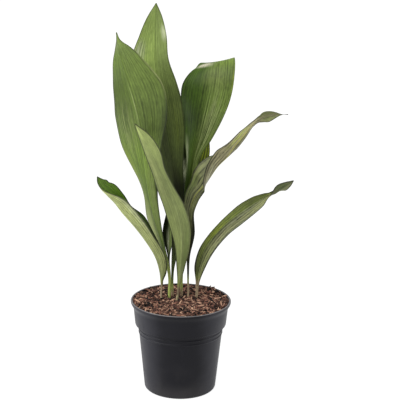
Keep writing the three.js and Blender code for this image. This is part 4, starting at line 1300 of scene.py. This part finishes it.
def leaf_mesh(name, look):
    """One closed leaf with stalk, its front and back each a grid across the blade and along the midrib."""
    place, columns = rows_between(look["rows"])
    middle, across, face = midrib_frame(columns)
    run = np.concatenate([[0.0], np.cumsum(np.linalg.norm(np.diff(middle, axis=0), axis=1))])
    last = len(look["rows"]) - 1
    to_tip = np.clip((place - BLADE_FROM) / (last - BLADE_FROM), 0, 1)
    stalk = (1 - smoothstep(BLADE_FROM - 1, BLADE_FROM + 1, place))[:, None]

    share = np.linspace(-1, 1, 2 * HALF_STEPS + 1)[None, :]
    hand = np.where(share < 0, -1.0, 1.0)
    width = np.where(share < 0, columns[:, 3:4], columns[:, 4:5]) * MM
    fold = np.radians(np.where(share < 0, columns[:, 6:7], columns[:, 7:8]))
    outward = (hand * np.cos(fold))[..., None] * across[:, None] + np.sin(fold)[..., None] * face[:, None]
    proud = np.cos(fold)[..., None] * face[:, None] - (hand * np.sin(fold))[..., None] * across[:, None]
    normal = np.where((share == 0)[..., None], face[:, None], proud)
    reach = width * np.abs(share)
    relief = leaf_relief(look, place, run, share, width, fold, stalk)
    surface = middle[:, None] + outward * reach[..., None] + proud * relief[..., None]
    to_front, to_back = leaf_thickness(look, share, width, stalk, to_tip)
    front = surface + normal * to_front[..., None]
    back = surface - normal * to_back[..., None]
    rings = np.concatenate([back[:, ::-1], front], axis=1)
    stations, count = rings.shape[:2]

    def on_both(values):
        """Values of the grid, for the back from right to left and then for the front."""
        grid = np.broadcast_to(values, reach.shape)
        return np.concatenate([grid[:, ::-1], grid], axis=1).ravel()

    attributes = {
        "share": on_both(share),
        "place": on_both((place / last)[:, None]),
        "reach": on_both(reach / MM),
        "run": on_both(run[:, None] * 100),
        "height": rings[..., 2].ravel(),
        "front": np.tile(np.repeat([0.0, 1.0], count // 2), stations),
    }
    return add_mesh(name, rings.reshape(-1, 3), leaf_faces(stations, count), attributes)


class PLANT_OT_leaves(bpy.types.Operator):
    """Grows each leaf with its stalk, veined and finished on its own"""

    bl_idname = "plant.leaves"
    bl_label = "Leaves"

    def execute(self, context):
        palette = context.scene.potted_plant.leaves
        for number, (node, own_look) in enumerate(LEAVES.items()):
            look = {**USUAL_LEAF, **own_look}
            name = node.replace("leaf_", "blade_")
            material = leaf_finish(name.replace("_", " "), look, palette, 10.0 * number)
            dress(leaf_mesh(name, look), look["slot"], material, crease=62.0, nodes=[node])
        return {"FINISHED"}


# Stage

EYE = (26.2 * MM, -1557.3 * MM, 697.6 * MM)
SENSOR_WIDTH = 36.0
FLOOR_HALF = 14.0
KEY_FROM = (-0.9, -1.2, 2.0)
KEY_WIDTH = 50
LEAF_MIDDLE = (0, 0, 0.25)
LIGHTS = (
    dict(name="left softbox", place=(-1.6, -0.5, 0.9), size=(0.9, 1.5), power=24.0),
    dict(name="right softbox", place=(1.7, -0.1, 0.7), size=(0.5, 1.3), power=8.0),
)


def aimed(place, target):
    """A rotation that points a light's -Z from its place to the target."""
    return (Vector(target) - Vector(place)).to_track_quat("-Z", "Y").to_euler()


class PLANT_OT_stage(bpy.types.Operator):
    """Sets the camera, the soft lights, the white surround and the pale floor"""

    bl_idname = "plant.stage"
    bl_label = "Stage"

    def execute(self, context):
        settings = context.scene.potted_plant.stage
        self.camera(context, settings)
        self.lights(context, settings)
        half = FLOOR_HALF
        corners = [(-half, -half, 0), (half, -half, 0), (half, half, 0), (-half, half, 0)]
        floor = add_mesh("floor", corners, [(0, 1, 2, 3)])
        cover(floor.data, floor_finish(settings))
        return {"FINISHED"}

    def camera(self, context, settings):
        data = bpy.data.cameras.new("camera")
        data.lens = settings.lens
        data.sensor_width = SENSOR_WIDTH
        camera = placed("camera", data)
        forward = Vector((0, math.cos(settings.pitch), -math.sin(settings.pitch)))
        right = Vector((1, 0, 0))
        up = right.cross(forward)
        across = math.cos(settings.roll) * right + math.sin(settings.roll) * up
        upward = math.cos(settings.roll) * up - math.sin(settings.roll) * right
        turn = Matrix((across, upward, -forward)).transposed()
        camera.matrix_world = Matrix.Translation(EYE) @ turn.to_4x4()
        context.scene.camera = camera

    def lights(self, context, settings):
        sun = bpy.data.lights.new("soft key", "SUN")
        sun.energy = settings.key
        sun.angle = math.radians(KEY_WIDTH)
        placed("soft key", sun).rotation_euler = aimed(KEY_FROM, (0, 0, 0))
        for light in LIGHTS:
            data = bpy.data.lights.new(light["name"], "AREA")
            data.shape = "RECTANGLE"
            data.size, data.size_y = light["size"]
            data.energy = light["power"]
            lamp = placed(light["name"], data)
            lamp.location = light["place"]
            lamp.rotation_euler = aimed(light["place"], LEAF_MIDDLE)
        world = bpy.data.worlds.new("white surround")
        world.use_nodes = True
        background = world.node_tree.nodes["Background"]
        background.inputs["Color"].default_value = (1, 1, 1, 1)
        background.inputs["Strength"].default_value = settings.world
        context.scene.world = world
        context.scene.view_settings.view_transform = "Standard"


class PLANT_PT_panel(bpy.types.Panel):
    """Lists the plant's pieces and settings"""

    bl_idname = "PLANT_PT_panel"
    bl_label = "Potted plant"
    bl_space_type = "VIEW_3D"
    bl_region_type = "UI"
    bl_category = "Plant"

    def draw(self, context):
        plant = context.scene.potted_plant
        for operator in STEPS:
            self.layout.operator(operator.bl_idname)
        for group in (plant.pot, plant.compost, plant.leaves, plant.stage):
            box = self.layout.box()
            for key in group.__annotations__:
                box.prop(group, key)


STEPS = (PLANT_OT_stage, PLANT_OT_pot, PLANT_OT_compost, PLANT_OT_rootstock, PLANT_OT_shoot, PLANT_OT_leaves)
CLASSES = (PotSettings, CompostSettings, LeafSettings, StageSettings, PlantSettings, *STEPS, PLANT_PT_panel)


def register():
    for entry in CLASSES:
        bpy.utils.register_class(entry)
    bpy.types.Scene.potted_plant = PointerProperty(type=PlantSettings)


def unregister():
    del bpy.types.Scene.potted_plant
    for entry in reversed(CLASSES):
        bpy.utils.unregister_class(entry)


def main():
    """Builds the plant piece by piece."""
    register()
    bpy.ops.plant.stage()
    bpy.ops.plant.pot()
    bpy.ops.plant.compost()
    bpy.ops.plant.rootstock()
    bpy.ops.plant.shoot()
    bpy.ops.plant.leaves()


if __name__ == "__main__":
    main()
